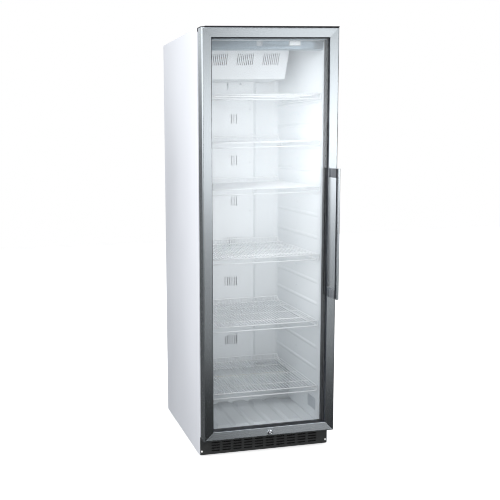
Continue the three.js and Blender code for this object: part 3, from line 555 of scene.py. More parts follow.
def build_shelf(bm, lo, hi, deck_top):
    """Front loop hanging down, rear loop standing up, side and cross rods, long thin wires."""
    low_z = deck_top - SHELF_RISE
    high_z = hi.z - ROD
    rod_z = deck_top - ROD
    front, back = lo.y + ROD, hi.y - ROD
    x0, x1 = lo.x + ROD + MM, hi.x - ROD - MM
    for y, inset, end_z in ((front, 0.0, low_z), (back, STOP_INSET, high_z)):
        loop = [(x0 + inset, y, rod_z), (x1 - inset, y, rod_z),
                (x1 - inset, y, end_z), (x0 + inset, y, end_z)]
        add_tube(bm, rounded(loop, SHELF_BEND, closed=True), ROD, closed=True)
    for x, sign in ((x0, 1), (x1, -1)):
        inner = x + sign * 2 * ROD
        side = [(inner, front + ROD, low_z), (inner, back - 26 * MM, low_z),
                (inner, back - 12 * MM, low_z + 14 * MM),
                (x + sign * STOP_INSET, back - ROD, deck_top + 8 * MM)]
        add_tube(bm, rounded(side, 9 * MM), ROD * 0.9)
        top = [(x, front + ROD, rod_z), (x, back - 6 * MM, rod_z),
               (x + sign * STOP_INSET, back - ROD, rod_z)]
        add_tube(bm, rounded(top, 6 * MM), ROD * 0.9)
    for share in (0.2, 0.5, 0.8):
        y = front + (back - front) * share
        z = rod_z - 2 * WIRE
        add_tube(bm, [Vector((x0, y, z)), Vector((x1, y, z))], ROD * 0.9)
    for i in range(SHELF_WIRES):
        x = x0 + (x1 - x0) * (i + 1) / (SHELF_WIRES + 1)
        path = [(x, front + ROD * 0.6, deck_top - 2 * WIRE), (x, front + 9 * MM, deck_top - WIRE),
                (x, back - 5 * MM, deck_top - WIRE), (x, back - ROD * 1.5, high_z - 2 * MM)]
        if x < x0 + STOP_INSET or x > x1 - STOP_INSET:
            path = path[:3]
        add_tube(bm, rounded(path, 4 * MM, steps=3), WIRE, sides=6)


def make_shelves():
    for number in range(1, 7):
        node = f"shelf_{number}"
        lo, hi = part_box(node)
        remake(node, f"{node}_wires", lambda bm: build_shelf(bm, lo, hi, hi.z - SHELF_RISE))


make_shelves()


# ---- liner ----

LINER_LO, LINER_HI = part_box("inner_liner")
WALL = 1.5 * MM
ROOM_X = LINER_HI.x - WALL
ROOM_FLOOR = LINER_LO.z + WALL
ROOM_CEILING = LINER_HI.z - WALL
ROOM_BACK = LINER_HI.y - WALL
STEP_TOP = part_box("insulation_floor")[1].z + 1.8 * MM
STEP_FRONT = FRONT_Y + 330 * MM
SHELF_TOP_6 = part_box("shelf_6")[1].z - SHELF_RISE
RIDGE_PITCH = 100 * MM
RIDGE_DROP = 28 * MM
RIDGES = 14
RIB_PITCH = 84 * MM
RIB_HEIGHT = 6.5 * MM
LIP_HEIGHT = 14 * MM


def swell(value):
    """0 up to 0 and 1 from 1 on, with a smooth rise between them."""
    return 0.5 - 0.5 * cos(pi * min(1.0, max(0.0, value)))


def hump(distance, half, soft):
    """1 within half of the middle, falling smoothly to 0 over the next soft."""
    return 1.0 - swell((abs(distance) - half) / soft)


def ridge_bulge(z, y):
    """How far the side wall stands in at this height: shelf ridges, fading at both ends."""
    phase = (z - (SHELF_TOP_6 - RIDGE_DROP - 4 * MM)) / RIDGE_PITCH
    level = round(phase)
    if level < 0 or level >= RIDGES:
        return 0.0
    off = (phase - level) * RIDGE_PITCH
    along = hump(y - (FRONT_Y + 256 * MM), 205 * MM, 18 * MM)
    return 4.0 * MM * hump(off, 3.4 * MM, 5 * MM) * along


def wall_profile(corner=26 * MM, steps=7):
    """Plan of the walls, from the front of the right wall round the back to the left one."""
    ys = [FRONT_Y + d * MM for d in (1.8, 20, 34, 42, 50, 58, 110, 200, 300, 400, 440, 452, 462)]
    right = [(ROOM_X, y) for y in ys]
    bend = arc(ROOM_X - corner, ROOM_BACK - corner, corner, 0, 90, steps)
    left = [(-x, y) for x, y in reversed(right + bend)]
    return right + bend + left


def build_walls(bm):
    plan = wall_profile()
    step = 3.2 * MM
    rows = int((ROOM_CEILING - ROOM_FLOOR) / step)
    heights = [ROOM_FLOOR + step * k for k in range(rows)] + [ROOM_CEILING]

    def point(i, j):
        x, y = plan[i]
        inward = ridge_bulge(heights[j], y) if abs(x) > ROOM_X - MM else 0.0
        return Vector((x - copysign(inward, x), y, heights[j]))

    add_grid(bm, len(plan) - 1, len(heights) - 1, point)


def floor_height(x, y):
    """Floor with broad ribs running back and a lip along its front edge."""
    index = round(x / RIB_PITCH)
    off = abs(x - RIB_PITCH * index) if abs(index) <= 2 else RIB_PITCH
    back = y - FRONT_Y
    rib = RIB_HEIGHT * swell((36 * MM - off) / (10 * MM)) * swell((back - 44 * MM) / (14 * MM))
    lip = LIP_HEIGHT * min(1.0, max(0.0, (26 * MM - back) / (16 * MM)))
    return ROOM_FLOOR + max(rib, lip)


def build_floor(bm):
    across = 176
    ys = [1.8, 6, 10, 14, 18, 22, 26, 34, 42, 46, 50, 54, 58, 62, 66, 70, 90, 150, 230, 322]

    def point(i, j):
        x = -ROOM_X + 2 * ROOM_X * i / across
        y = FRONT_Y + ys[j] * MM
        return Vector((x, y, floor_height(x, y)))

    add_grid(bm, across, len(ys) - 1, point)
    r = 8 * MM
    riser = [(-r, 0.0), (-0.3 * r, 0.3 * r), (0.0, r)]
    riser = ([(STEP_FRONT + y, ROOM_FLOOR + z) for y, z in riser]
             + [(STEP_FRONT - y, STEP_TOP - z) for y, z in reversed(riser)]
             + [(ROOM_BACK, STEP_TOP)])
    add_grid(bm, 1, len(riser) - 1, lambda i, j: Vector(((2 * i - 1) * ROOM_X, *riser[j])))


def build_ceiling(bm):
    ys = (FRONT_Y + 1.8 * MM, ROOM_BACK)
    add_grid(bm, 1, 1, lambda i, j: Vector(((2 * i - 1) * ROOM_X, ys[j], ROOM_CEILING)))


def make_liner():
    for part, build in (("walls", build_walls), ("floor", build_floor), ("ceiling", build_ceiling)):
        piece = remake("inner_liner", f"liner_{part}", build, smooth_angle=60.0)
        skin = piece.modifiers.new("skin", "SOLIDIFY")
        skin.thickness = 1.2 * MM
        skin.offset = 0.0


make_liner()


# ---- air duct panel ----

DUCT_LO, DUCT_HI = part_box("duct_panel")
VENT_HEIGHTS = (1487, 1287, 1087, 887, 687, 387)            # millimetres
VENT_SHORT_ABOVE = 1000                  # rows above this height have only three slots
DUCT_SCREWS = (1532, 1275, 1037, 800, 563, 293)
DUCT_FLAT = 116 * MM                     # half of the raised middle's width


def build_duct(bm):
    """The raised middle of the panel, with its slots, and a sloping flank at each side."""
    y = DUCT_LO.y
    sheet = 2 * MM
    holes = [slot((i - 2.5) * 12 * MM, z * MM, 1.7 * MM, 23 * MM, 1.6 * MM)
             for z in VENT_HEIGHTS for i in range(3 if z > VENT_SHORT_ABOVE else 0, 6)]
    edge = DUCT_FLAT
    add_plate(bm, rect(-edge, edge, DUCT_LO.z, DUCT_HI.z), at_y(y), at_y(y + sheet), holes)
    for side in (-1, 1):
        bend = [(edge, y), (edge + 1.4 * MM, y + 0.5 * MM), (edge + 2.4 * MM, y + 1.6 * MM),
                (DUCT_HI.x - 3 * MM, DUCT_HI.y - 1.2 * MM), (DUCT_HI.x, DUCT_HI.y)]
        back = [(u - sheet, v + sheet * 0.4) for u, v in reversed(bend[:-1])]
        back[-1] = (edge, y + sheet)
        section = [(side * u, min(v, DUCT_HI.y)) for u, v in bend + back]
        add_prism(bm, section, at_z(DUCT_LO.z), at_z(DUCT_HI.z))


def build_duct_screws(bm):
    for z in DUCT_SCREWS:
        for side in (-1, 1):
            add_screw(bm, (side * 99 * MM, DUCT_LO.y, z * MM), (0, -1, 0), 4.2 * MM)


def build_sensor(bm):
    """Air sensor clip and two push-in studs under the evaporator cover."""
    y = DUCT_LO.y
    for x, z, radius in ((-14, 1649, 4.5), (51, 1654, 5.0)):
        add_screw(bm, (x * MM, y, z * MM), (0, -1, 0), radius * MM)
    clip = [(-14 * MM, y - out * MM, z * MM) for out, z in ((4, 1660), (8, 1640), (8, 1628))]
    add_tube(bm, rounded(clip, 6 * MM), 2.4 * MM)


remake("duct_panel", "duct_panel_skin", build_duct)
make("duct_screws", build_duct_screws, "switch_grey", "cabinet")
make("air_sensor", build_sensor, "switch_grey", "cabinet")


# ---- evaporator cover ----

COVER_LO, COVER_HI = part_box("evaporator_cover")
COVER_TOP_Y = COVER_LO.y
COVER_LOW_Y = FRONT_Y + 275 * MM
COVER_BREAK = 1784 * MM                  # the front is upright above this and slopes below it
COVER_SLOT_Z = 1748 * MM
COVER_GROUPS = (-123, 0, 123)            # middles of the groups of slots, in millimetres


def build_cover(bm):
    sheet = 2 * MM
    half = COVER_HI.x
    top, low, back = COVER_HI.z, COVER_LO.z, COVER_HI.y

    def slope_y(z):
        return COVER_TOP_Y + (COVER_BREAK - z) / (COVER_BREAK - low) * (COVER_LOW_Y - COVER_TOP_Y)

    holes = [slot((group + (i - 4) * 9) * MM, COVER_SLOT_Z, 1.5 * MM, 25 * MM, 1.4 * MM)
             for group in COVER_GROUPS for i in range(9)]
    add_plate(bm, rect(-half, half, low, COVER_BREAK), lambda u, v: Vector((u, slope_y(v), v)),
              lambda u, v: Vector((u, slope_y(v) + sheet, v)), holes)
    lo_y = slope_y(low)
    add_box(bm, (-half, COVER_TOP_Y, COVER_BREAK), (half, COVER_TOP_Y + sheet, top))
    add_box(bm, (-half, lo_y, low), (half, back, low + sheet))
    profile = [(COVER_TOP_Y, top), (COVER_TOP_Y, COVER_BREAK), (lo_y, low), (back, low), (back, top)]
    for side in (-1, 1):
        add_prism(bm, profile, at_x(side * (half - sheet)), at_x(side * half))


remake("evaporator_cover", "evaporator_cover_skin", build_cover)


# ---- wall screws ----

def build_wall_screws(bm):
    """Small screws between the ridges, half way back on both side walls."""
    for level in range(RIDGES - 1):
        z = SHELF_TOP_6 - RIDGE_DROP + (level + 0.45) * RIDGE_PITCH
        for side in (-1, 1):
            add_screw(bm, (side * (ROOM_X - 0.4 * MM), FRONT_Y + 250 * MM, z), (-side, 0, 0),
                      3.6 * MM)


make("wall_screws", build_wall_screws, "switch_grey", "cabinet")


# ---- rims of the switch and the lamp ----

def build_bezels(bm):
    """Raised rims round the switch and the lamp."""
    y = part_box("header_fascia")[0].y
    for node, grow in (("light_switch", 3.2 * MM), ("lamp_lens", 2.4 * MM)):
        lo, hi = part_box(node)
        inner = soft_rect(lo.x - 0.4 * MM, hi.x + 0.4 * MM, lo.z - 0.4 * MM, hi.z + 0.4 * MM, MM, 3)
        outer = soft_rect(lo.x - grow, hi.x + grow, lo.z - grow, hi.z + grow, 3 * MM, 4)
        add_plate(bm, outer, at_y(y - 1.4 * MM), at_y(y - 0.02 * MM), [inner])


make("header_bezels", build_bezels, "switch_grey", "cabinet")


# ---- door frame ----

STILE_LO, STILE_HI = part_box("door_stile_hinge")
DOOR_X = -STILE_LO.x
DOOR_Z0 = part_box("door_rail_bottom")[0].z
DOOR_Z1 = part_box("door_rail_top")[1].z
DOOR_Y0 = STILE_LO.y
DOOR_Y1 = STILE_HI.y
FACE = STILE_HI.x - STILE_LO.x
MITRE_GAP = 0.28 * MM
PANE_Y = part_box("glass_outer")[0].y


def frame_section():
    """u runs in from the door's edge, v back from its front face."""
    depth = DOOR_Y1 - DOOR_Y0
    r = 6 * MM
    inner = 1.6 * MM
    flat = 0.5 * MM                      # keeps the flats flat beside their rounded edges
    return ([(0.0, r + flat)] + arc(r, r, r, 180, 270, 8) + [(r + flat, 0.0)]
            + [(FACE - inner - flat, 0.0)] + arc(FACE - inner, inner, inner, 270, 360, 4)
            + [(FACE, inner + flat), (FACE, 7.5 * MM), (32 * MM, 7.5 * MM), (32 * MM, depth)]
            + [(3 * MM + flat, depth)] + arc(3 * MM, depth - 3 * MM, 3 * MM, 90, 180, 4)
            + [(0.0, depth - 3 * MM - flat)])


def make_frame_members():
    """Two rails and two stiles, mitred, each brushed along its length."""
    for node, ends, across in (("door_rail_bottom", (3, 0), lambda p: p.z - p.y),
                               ("door_rail_top", (2, 1), lambda p: p.z + p.y),
                               ("door_stile_hinge", (3, 2), lambda p: p.x - p.y),
                               ("door_stile_handle", (0, 1), lambda p: p.x + p.y)):
        level = "rail" in node
        gap_x, gap_z = (MITRE_GAP, 0.0) if level else (0.0, MITRE_GAP)
        section = [(u + gap_x, u + gap_z, u + gap_z, DOOR_Y0 + v) for u, v in frame_section()]
        remake(node, f"{node}_clad",
               lambda bm: add_skin(bm, window_outlines(section, ends)),
               STEEL_ACROSS if level else None, smooth_angle=30.0,
               grain=(across, (lambda p: p.x) if level else (lambda p: p.z)))


make_frame_members()


def build_bead(bm):
    """Black rubber bead between the frame's lip and the outer pane."""
    u0, u1 = FACE + 0.05 * MM, FACE + 1.9 * MM
    v0, v1 = DOOR_Y0 + 1.4 * MM, PANE_Y - 0.05 * MM
    add_window_ring(bm, [(u0, v0), (u1 - 0.6 * MM, v0), (u1, v0 + 0.8 * MM), (u1, v1), (u0, v1)])


make("glazing_bead", build_bead, "gasket_rubber", "door", material=BEAD_BLACK)


def build_top_trim(bm):
    """Black strip along the top of the door, narrower where it passes the hinge bracket."""
    bracket_lo, bracket_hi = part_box("hinge_bracket_top")
    z0 = DOOR_Z1 + 0.1 * MM
    top = DOOR_Z1 + 4.8 * MM
    front = DOOR_Y0 + 0.6 * MM
    for x0, x1, width in ((bracket_lo.x + 14 * MM, bracket_hi.x + 4 * MM, 11 * MM),
                          (bracket_hi.x + 4 * MM, DOOR_X - MM, 24 * MM)):
        section = [(front, z0), (front, top - 1.2 * MM), (front + 1.2 * MM, top),
                   (front + width - MM, top), (front + width, z0)]
        add_prism(bm, section, at_x(x0), at_x(x1))


make("door_top_trim", build_top_trim, "black_plastic", "door")


# ---- glazing spacer, inner frame and gasket ----

def lining(node, *insets):
    """A bar round the window with its edges cut off; the insets are in millimetres."""
    lo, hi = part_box(node)
    outer = DOOR_X - hi.x
    edge, side, low, low_rear, top, top_rear = (d * MM for d in insets)
    return [(outer, outer, outer, lo.y), (side - edge, low - edge, top - edge, lo.y),
            (side, low, top, lo.y + edge), (side, low_rear, top_rear, hi.y - edge),
            (side - edge, low_rear - edge, top_rear - edge, hi.y), (outer, outer, outer, hi.y)]


def build_spacer(bm):
    section = lining("glass_spacer", 1, 43.5, 41.5, 41.5, 43.5, 43.5)
    add_skin(bm, window_outlines(section), closed=True)


def build_inner_frame(bm, corners):
    """The frame behind the panes; its lower and upper lips slope away to the gasket."""
    section = lining("door_inner_frame", 0.8, 43.5, 39.5, 34.0, 48.0, 44.0)
    add_skin(bm, window_outlines(section, corners))


def build_gasket(bm):
    """Bellows gasket: a magnet strip carried on two folds, with a lip towards the door."""
    lo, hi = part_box("door_gasket")
    u0 = DOOR_X - hi.x
    u1 = u0 + 18 * MM
    mid = (lo.y + hi.y) / 2
    half = [(3, lo.y), (1.5, lo.y + 1.6 * MM), (3.5, mid - 1.4 * MM), (0.5, mid),
            (0, mid + 1.5 * MM), (0, hi.y - 0.8 * MM), (0.8, hi.y)]
    add_window_ring(bm, [(u1 - inset * MM, y) for inset, y in half]
                    + [(u0 + inset * MM, y) for inset, y in reversed(half)])


remake("glass_spacer", "spacer_bar", build_spacer, slot_name="black_plastic")
remake("door_gasket", "gasket_bellows", build_gasket, smooth_angle=25.0)
remake("door_inner_frame", "inner_frame_ring", lambda bm: build_inner_frame(bm, (1, 0, 3, 2)),
       slot_name="black_plastic")
remake("door_inner_frame", "inner_frame_head", lambda bm: build_inner_frame(bm, (1, 2)),
       slot_name="header_grey")


# ---- handle ----

BAR_LO, BAR_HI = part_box("handle_bar")


def bar_section(x0, x1, y0, y1, front, back):
    return (arc(x0 + front, y0 + front, front, 180, 270, 4)
            + arc(x1 - front, y0 + front, front, 270, 360, 4)
            + arc(x1 - back, y1 - back, back, 0, 90, 3)
            + arc(x0 + back, y1 - back, back, 90, 180, 3))


def build_bar_core(bm):
    section = bar_section(BAR_LO.x + 0.2 * MM, BAR_HI.x - 0.2 * MM, BAR_LO.y + 3.0 * MM,
                          BAR_HI.y, 0.3 * MM, 1.4 * MM)
    add_prism(bm, section, at_z(BAR_LO.z + 0.4 * MM), at_z(BAR_HI.z - 0.4 * MM))


def build_bar_face(bm):
    section = bar_section(BAR_LO.x, BAR_HI.x, BAR_LO.y, BAR_LO.y + 2.9 * MM, 2.2 * MM, 0.3 * MM)
    add_prism(bm, section, at_z(BAR_LO.z), at_z(BAR_HI.z))


def make_handle():
    remake("handle_bar", "handle_core", build_bar_core, BAR_BLACK, "black_metal")
    remake("handle_bar", "handle_face", build_bar_face, slot_name="stainless", smooth_angle=30.0,
           grain=(lambda p: p.x + p.y, lambda p: p.z))
    for node in ("handle_post_top", "handle_post_bottom"):
        soften(node, 0.6 * MM, material=POST_GREY)


make_handle()


# ---- hinge brackets ----

HINGE_ROUND = 13 * MM                    # the plate's end is round about the pin


def build_hinge_bottom(bm):
    """A plate under the door, round about the pin, a leg on the cabinet's front and the pin."""
    lo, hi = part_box("hinge_bracket_bottom")
    z0, z1 = DOOR_Z0 - 8 * MM, DOOR_Z0 - 4 * MM
    r = HINGE_ROUND
    plan = (arc(lo.x + r, lo.y + r, r, 180, 270, 8) + arc(lo.x + r, lo.y + r, r, 270, 330, 5)
            + [(hi.x, hi.y - (hi.y - lo.y) * 0.24), (hi.x, hi.y), (lo.x, hi.y)])
    add_plate(bm, plan, at_z(z0), at_z(z1))
    leg = [(lo.x, z1), (lo.x, lo.z + 4 * MM)]
    leg += arc(lo.x + 4 * MM, lo.z + 4 * MM, 4 * MM, 180, 270, 4)
    leg += [(lo.x + u * MM, lo.z + v * MM)
            for u, v in ((8, 1), (14, 8), (20, 18), (27, 29), (34, 37))]
    leg += [(hi.x, lo.z + 41 * MM), (hi.x, z1)]
    add_plate(bm, leg, at_y(hi.y - 3 * MM), at_y(hi.y))
    pin = Vector((lo.x + r, lo.y + r, DOOR_Z0))
    profile = ((8, -5), (8, -0.8), (7.4, -0.3), (5, -0.3), (5, 5.4), (4.4, 6), (0, 6))
    add_lathe(bm, [(r * MM, h * MM) for r, h in profile], lambda x, y, h: pin + Vector((x, y, h)))


remake("hinge_bracket_bottom", "hinge_bottom", build_hinge_bottom)
soften("hinge_bracket_top", 0.5 * MM)


# ---- kick grille ----

KICK_LO, KICK_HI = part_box("kick_grille")
KICK_SLOT_LOW = 24.5 * MM                # height of the lowest row
KICK_ROW_PITCH = 12.3 * MM
KICK_COLUMN_PITCH = 50.5 * MM
KICK_SCREWS = ("kick_screw_left", "kick_screw_right")


def build_kick(bm):
    """Front plate with rounded slots and a flange bent back along its top."""
    sheet = 2 * MM
    y = KICK_LO.y
    holes = [slot((column - 4.5) * KICK_COLUMN_PITCH, KICK_SLOT_LOW + row * KICK_ROW_PITCH,
                  19.5 * MM, 3.2 * MM, 2.2 * MM, 4) for row in range(4) for column in range(10)]
    for node in KICK_SCREWS:
        centre = middle(node)
        holes.append(arc(centre.x, centre.z, 2.6 * MM, 0, 330, 11))
    outline = soft_rect(KICK_LO.x, KICK_HI.x, KICK_LO.z, KICK_HI.z - 1.2 * MM, 6 * MM, 6)
    add_plate(bm, outline, at_y(y), at_y(y + sheet), holes)
    bend = ([(y + 0.02 * MM, KICK_HI.z - 6 * MM)]
            + arc(y + 2.5 * MM, KICK_HI.z - 2.5 * MM, 2.48 * MM, 180, 90, 5)
            + [(KICK_HI.y, KICK_HI.z), (KICK_HI.y, KICK_HI.z - sheet),
               (y + sheet + MM, KICK_HI.z - sheet), (y + sheet, KICK_HI.z - 6 * MM)])
    add_prism(bm, bend, at_x(KICK_LO.x + 6 * MM), at_x(KICK_HI.x - 6 * MM))


def make_kick_screws():
    for node in KICK_SCREWS:
        centre = middle(node)
        centre.y = KICK_LO.y - 0.1 * MM
        remake(node, f"{node}_head",
               lambda bm: add_screw(bm, centre, (0, -1, 0), 4.6 * MM, 2.4 * MM), PALE_ZINC)


def build_kick_shade_mat(bm):
    """A thin black pleated mat behind the grille: painted shade that makes the slots read dark."""
    folds = 120
    x0, x1 = KICK_LO.x + 12 * MM, KICK_HI.x - 12 * MM
    z = (KICK_LO.z + 4 * MM, KICK_HI.z - 5 * MM)
    add_grid(bm, folds, 1, lambda i, j: Vector((
        x0 + (x1 - x0) * i / folds, KICK_LO.y + (7 + i % 2 * 2.5) * MM, z[j])))


def build_sill(bm):
    """Thin painted sill that closes the foam's front edge under the liner's lip."""
    foam_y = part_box("insulation_floor")[0].y
    half = -SIDE_HI.x - 0.3 * MM
    outline = soft_rect(-half, half, KICK_HI.z + 0.4 * MM, LINER_LO.z + 12 * MM, 0.6 * MM, 3)
    add_plate(bm, outline, at_y(FRONT_Y + 0.1 * MM), at_y(foam_y - 0.1 * MM))


make("front_sill", build_sill, "white_paint", "cabinet")
remake("kick_grille", "kick_plate", build_kick, KICK_BLACK)
# a black mat behind the grille paints the shade seen through its slots
make("kick_shade_mat", build_kick_shade_mat, "black_plastic", "cabinet", SHADE_MAT_BLACK)
make_kick_screws()


# ---- lock ----

BARREL_LO, BARREL_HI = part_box("lock_barrel")


def build_barrel(bm):
    """Flanged tube with a rounded rim."""
    centre = middle("lock_barrel")
    front = BARREL_LO.y
    outer = BARREL_HI.x - centre.x
    bore, body = 7.4 * MM, 9.6 * MM
    rim = ((1.4, 0.0), (0.4, 0.5), (0.0, 1.6), (0.0, 2.6))
    profile = [(bore, front + 0.6 * MM), (bore + 0.5 * MM, front)]
    profile += [(outer - inset * MM, front + depth * MM) for inset, depth in rim]
    profile += [(body, front + 2.7 * MM), (body, BARREL_HI.y), (bore, BARREL_HI.y)]
    add_lathe(bm, profile, lambda x, y, h: Vector((centre.x + x, h, centre.z + y)), 40, closed=True)


soften("lock_plug", 0.35 * MM)
remake("lock_barrel", "lock_barrel_turned", build_barrel)
soften("lock_keeper", 0.4 * MM)


# ---- fans, coils, rollers and back ----

def build_fan(bm, lo, hi, centre_x, centre_z, blades=5):
    """Hub with a domed nose, and twisted blades swept round it."""
    reach = (hi.z - lo.z) / 2
    hub = 15 * MM
    y0, y1 = lo.y, hi.y
    mid = (y0 + y1) / 2
    add_lathe(bm, [(0, y0), (hub * 0.6, y0 + 0.4 * MM), (hub * 0.92, y0 + 2 * MM),
                   (hub, y0 + 4 * MM), (hub, y1 - MM), (hub - MM, y1), (0, y1)],
              lambda x, y, h: Vector((centre_x + x, h, centre_z + y)), 40)
    foil = [(-0.5, 0.0), (-0.25, 0.055), (0.0, 0.075), (0.25, 0.055), (0.5, 0.0),
            (0.25, 0.0), (0.0, 0.015), (-0.25, 0.0)]
    stations = ((hub - MM, 16 * MM, 38.0, 0.0), (hub + (reach - hub) * 0.45, 25 * MM, 26.0, 7.0),
                (reach - 3 * MM, 32 * MM, 19.0, 17.0), (reach - 0.4 * MM, 25 * MM, 17.0, 22.0))

    def station(blade, radius, chord, pitch, sweep):
        turn = radians(360.0 * blade / blades + sweep)
        out = Vector((cos(turn), 0.0, sin(turn)))
        round_ = Vector((-sin(turn), 0.0, cos(turn)))
        tilt = radians(pitch)

        def place(u, v):
            along = chord * (u * cos(tilt) - v * sin(tilt))
            back = chord * (u * sin(tilt) + v * cos(tilt))
            return (Vector((centre_x, mid + back, centre_z)) + round_ * along
                    + out * sqrt(max(radius ** 2 - along ** 2, 0.0)))
        return place

    for blade in range(blades):
        add_prism(bm, foil, *(station(blade, *row) for row in stations))


def build_fins(bm, lo, hi, margin, pitch):
    """A pack of thin upright fins between two end plates."""
    count = int((hi.x - lo.x - 2 * margin) / pitch)
    start = (lo.x + hi.x - count * pitch) / 2
    for i in range(count + 1):
        half = 0.7 * MM if i in (0, count) else 0.18 * MM
        x = start + i * pitch
        add_box(bm, (x - half, lo.y + 0.4 * MM, lo.z + 0.3 * MM),
                (x + half, hi.y - 0.4 * MM, hi.z - 0.3 * MM))


def build_coil(bm, lo, hi, columns, rows, radius):
    """Tubes that run to and fro through the fins, with round bends outside them."""
    bend = (hi.z - lo.z) / rows
    for column in range(columns):
        y = lo.y + (hi.y - lo.y) * (column + 0.5) / columns
        path = []
        for row in range(rows):
            z = lo.z + bend * (row + 0.5)
            ends = [lo.x + radius, hi.x - radius]
            path += [(x, y, z) for x in (ends if row % 2 == 0 else ends[::-1])]
        add_tube(bm, rounded(path, bend * 0.45), radius, sides=10)


def build_wheel(bm, lo, hi):
    """Roller with a rounded tread and a dished web; its axle runs along x."""
    centre = (lo + hi) / 2
    half = (hi.x - lo.x) / 2
    tread = (hi.z - lo.z) / 2 / 19.0
    side = [(4.2, 1.0), (8.0, 1.0), (9.0, 0.75), (13.5, 0.7), (15.0, 0.94), (17.0, 1.0),
            (18.6, 0.86), (19.0, 0.6)]
    outline = [(r, -h) for r, h in side] + side[::-1]
    add_lathe(bm, [(r * tread, h * half) for r, h in outline],
              lambda x, y, h: centre + Vector((h, x, y)), 48, closed=True)


DIMPLE = 1.3 * MM                        # depth of the pressing round each back screw


def back_spots(lo, hi):
    """Where the back sheet's screws are: six up each side, one in the middle at each end."""
    heights = [lo.z + 16 * MM + (hi.z - lo.z - 32 * MM) * k / 5 for k in range(6)]
    spots = [(x, z) for x in (lo.x + 14 * MM, hi.x - 14 * MM) for z in heights]
    return spots + [(0.0, heights[0]), (0.0, heights[-1])]


def build_back(bm):
    """Back sheet with a dimple for each of its screws."""
    lo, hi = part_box("back_panel")
    spots = back_spots(lo, hi)
    rim, well = 6.5 * MM, 4.8 * MM
    holes = [arc(x, z, rim, 0, 345, 23) for x, z in spots]
    add_plate(bm, rect(lo.x, hi.x, lo.z, hi.z), at_y(hi.y), at_y(lo.y), holes)
    floor_y = hi.y - DIMPLE
    for x, z in spots:
        add_lathe(bm, [(0.0, floor_y), (well, floor_y), (rim, hi.y), (rim, lo.y), (0.0, lo.y)],
                  lambda a, b, h: Vector((x + a, h, z + b)), 24)


def build_back_screws(bm):
    lo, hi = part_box("back_panel")
    for x, z in back_spots(lo, hi):
        add_screw(bm, (x, hi.y - DIMPLE - 0.02 * MM, z), (0, 1, 0), 3.6 * MM, 1.1 * MM)


def make_hidden_parts():
    for fan in ("evaporator_fan", "condenser_fan"):
        lo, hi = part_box(fan)
        motor = fan.replace("fan", "motor")
        hub = (middle(motor).x, (lo.z + hi.z) / 2)
        remake(fan, f"{fan}_blades", lambda bm: build_fan(bm, lo, hi, *hub))
        soften(motor, 0.8 * MM)
    for coil, margin, pitch, columns, rows in (("evaporator_coil", 12, 6, 3, 4),
                                               ("condenser", 10, 3.5, 2, 6)):
        lo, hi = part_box(coil)
        remake(coil, f"{coil}_fins", lambda bm: build_fins(bm, lo, hi, margin * MM, pitch * MM),
               slot_name="aluminium")
        remake(coil, f"{coil}_tubes", lambda bm: build_coil(bm, lo, hi, columns, rows, 4 * MM),
               slot_name="copper")
    for roller in ("roller_left", "roller_right"):
        lo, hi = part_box(roller)
        remake(roller, f"{roller}_wheel", lambda bm: build_wheel(bm, lo, hi))
    remake("back_panel", "back_sheet", build_back)
    make("back_screws", build_back_screws, "chrome", "cabinet", PALE_ZINC)
    soften("compressor", 1.2 * MM)


make_hidden_parts()


# ---- plain parts with rounded edges ----

for node_name, edge in (("side_panel_left", 0.7), ("side_panel_right", 0.7), ("top_panel", 0.5),
                        ("base_pan", 0.4), ("header_fascia", 1.2),
                        ("light_switch", 0.5), ("lamp_lens", 1.0), ("thermostat_dial", 0.6),
                        ("drip_tray", 0.6), ("terminal_cover", 1.0), ("rear_cover", 0.3),
                        ("power_inlet", 0.8), ("data_plate", 0.2), ("condenser_shroud", 0.6),
                        ("foot_left", 0.8), ("foot_right", 0.8), ("refrigerant_line", 0.3)):
    soften(node_name, edge * MM)


# ---- stage ----

def area_light(name, place, target, size, power, colour=(1.0, 1.0, 1.0)):
    data = bpy.data.lights.new(name, "AREA")
    data.shape = "RECTANGLE"
    data.size, data.size_y = size
    data.energy = power
    data.color = colour
    lamp = bpy.data.objects.new(name, data)
    bpy.context.collection.objects.link(lamp)
    lamp.location = place
    lamp.rotation_euler = (Vector(target) - Vector(place)).to_track_quat("-Z", "Y").to_euler()
    lamp.visible_camera = False
    lamp.visible_glossy = False


def make_floor():
    size = 6.0
    mesh = bpy.data.meshes.new("floor")
    mesh.from_pydata([(u, v, 0.0) for u, v in rect(-size, size, -size, size)], [], [(0, 1, 2, 3)])
    floor = bpy.data.objects.new("floor", mesh)
    bpy.context.collection.objects.link(floor)
    mesh.materials.append(uneven("floor", (0.9, 0.9, 0.9), 0.6, (1.5, 0.004),
                                 Emission_Strength=0.55, Emission_Color=(1.0, 1.0, 1.0)))
    floor.visible_glossy = False
    floor.visible_diffuse = False


class WorldNodes(Nodes):
    def __init__(self, world):
        self.begin(world, "ShaderNodeOutputWorld")

    def background(self, colour, strength):
        return self.add("ShaderNodeBackground", {"Color": colour, "Strength": strength})


SOFTBOX = 3.15                           # brightness of the softbox in front on the right
BAND_DROP = 0.007                        # how far its middle is below the horizon
BAND_ABOVE, BAND_BELOW = 0.113, -0.137   # its spread above and below that
AMBIENT = 0.6


def softbox(nodes, east, up, front):
    """A band of light in front, from the middle to the right, dimmer low on the right."""
    rise = nodes.plus(up, BAND_DROP)
    offset = nodes.math("MAXIMUM", nodes.math("DIVIDE", rise, BAND_ABOVE),
                        nodes.math("DIVIDE", rise, BAND_BELOW))
    band = nodes.math("EXPONENT", nodes.times(offset, offset, -0.5))
    near_edge = nodes.ease(east, 0.0, 1.0, 0.165, 0.45)
    far_edge = nodes.ease(east, 1.0, 0.0, 0.66, 0.84)
    dim = nodes.times(nodes.ease(east, 0.0, 0.66, 0.34, 0.5), nodes.ease(up, 1.0, 0.0, -0.15, -0.03))
    return nodes.times(band, near_edge, far_edge, front, nodes.math("SUBTRACT", 1.0, dim))


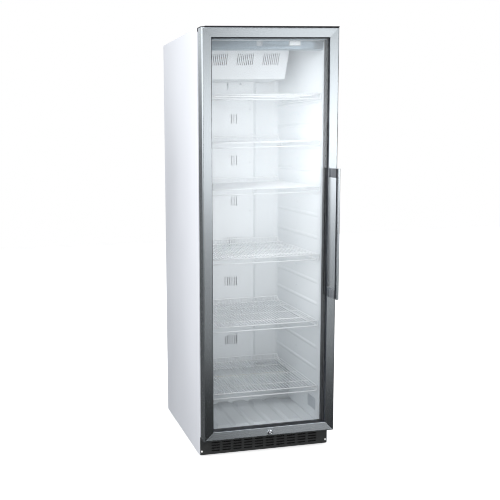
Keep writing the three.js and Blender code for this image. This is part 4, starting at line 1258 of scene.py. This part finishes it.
def surroundings(nodes, east, north, up, front):
    """The sky, a wall on the left, a glow behind, a low skirt in front and a little all round."""
    sky = nodes.ease(up, 0.0, 1.2, 0.18, 0.6)
    left_wall = nodes.times(nodes.ease(east, 2.3, 0.0, -0.6, 0.1),
                            nodes.ease(up, 0.04, 1.0, -0.22, 0.12),
                            nodes.ease(north, 1.0, 0.0, 0.0, 0.5))
    glow = nodes.math("POWER", nodes.span(up, 0.0, 1.0, -0.1, 0.14), 2.5)
    rear_sky = nodes.times(nodes.plus(nodes.times(glow, 0.85),
                                      nodes.ease(up, 0.015, 0.05, -0.35, -0.12)),
                           nodes.ease(north, 0.0, 1.0, 0.0, 0.5))
    low = nodes.span(north, 0.012, 0.1, -0.6, 0.6)
    skirt = nodes.times(nodes.ease(up, 0.0, 0.21, -0.335, -0.275),
                        nodes.ease(up, 1.0, 0.0, -0.3, -0.1), front)
    return nodes.plus(sky, low, skirt, rear_sky, left_wall)


def make_world():
    """White to the camera, even light for matt surfaces, and a studio for the glossy ones."""
    world = bpy.data.worlds.new("studio")
    bpy.context.scene.world = world
    world.cycles.sampling_method = "NONE"
    nodes = WorldNodes(world)
    coords = nodes.add("ShaderNodeTexCoord")
    split = nodes.add("ShaderNodeSeparateXYZ", {"Vector": coords.outputs["Generated"]})
    east, north, up = (split.outputs[axis] for axis in "XYZ")
    front = nodes.ease(north, 1.0, 0.0, -0.35, -0.1)
    glossy = nodes.plus(nodes.times(softbox(nodes, east, up, front), SOFTBOX),
                        surroundings(nodes, east, north, up, front))
    studio = nodes.background((0.95, 0.98, 1.0), glossy)
    even = nodes.background((0.95, 0.975, 1.0), AMBIENT)
    white = nodes.background((1.0, 1.0, 1.0), 1.0)
    rays = nodes.add("ShaderNodeLightPath")
    lit = nodes.mix(rays.outputs["Is Diffuse Ray"], studio, even)
    nodes.surface(nodes.mix(rays.outputs["Is Camera Ray"], lit, white))


WARM = (1.0, 0.965, 0.935)


def make_lights():
    area_light("side_light", (-2.85, -2.1, 2.4), (-0.3, 0.0, 1.2), (1.4, 1.4), 78.0)
    area_light("front_light", (-0.4, -3.0, 1.55), (0.0, 0.0, 1.2), (1.1, 1.1), 31.0, WARM)
    area_light("room_fill", (0.0, FRONT_Y + 0.012, 1.15), (0.0, 1.0, 1.15), (0.48, 1.1), 1.0,
               WARM)


make_floor()
make_world()
make_lights()
bpy.context.scene.view_settings.view_transform = "Standard"
bpy.context.scene.cycles.diffuse_bounces = 6
bpy.context.scene.cycles.filter_width = 1.0
bpy.context.scene.cycles.transparent_max_bounces = 24
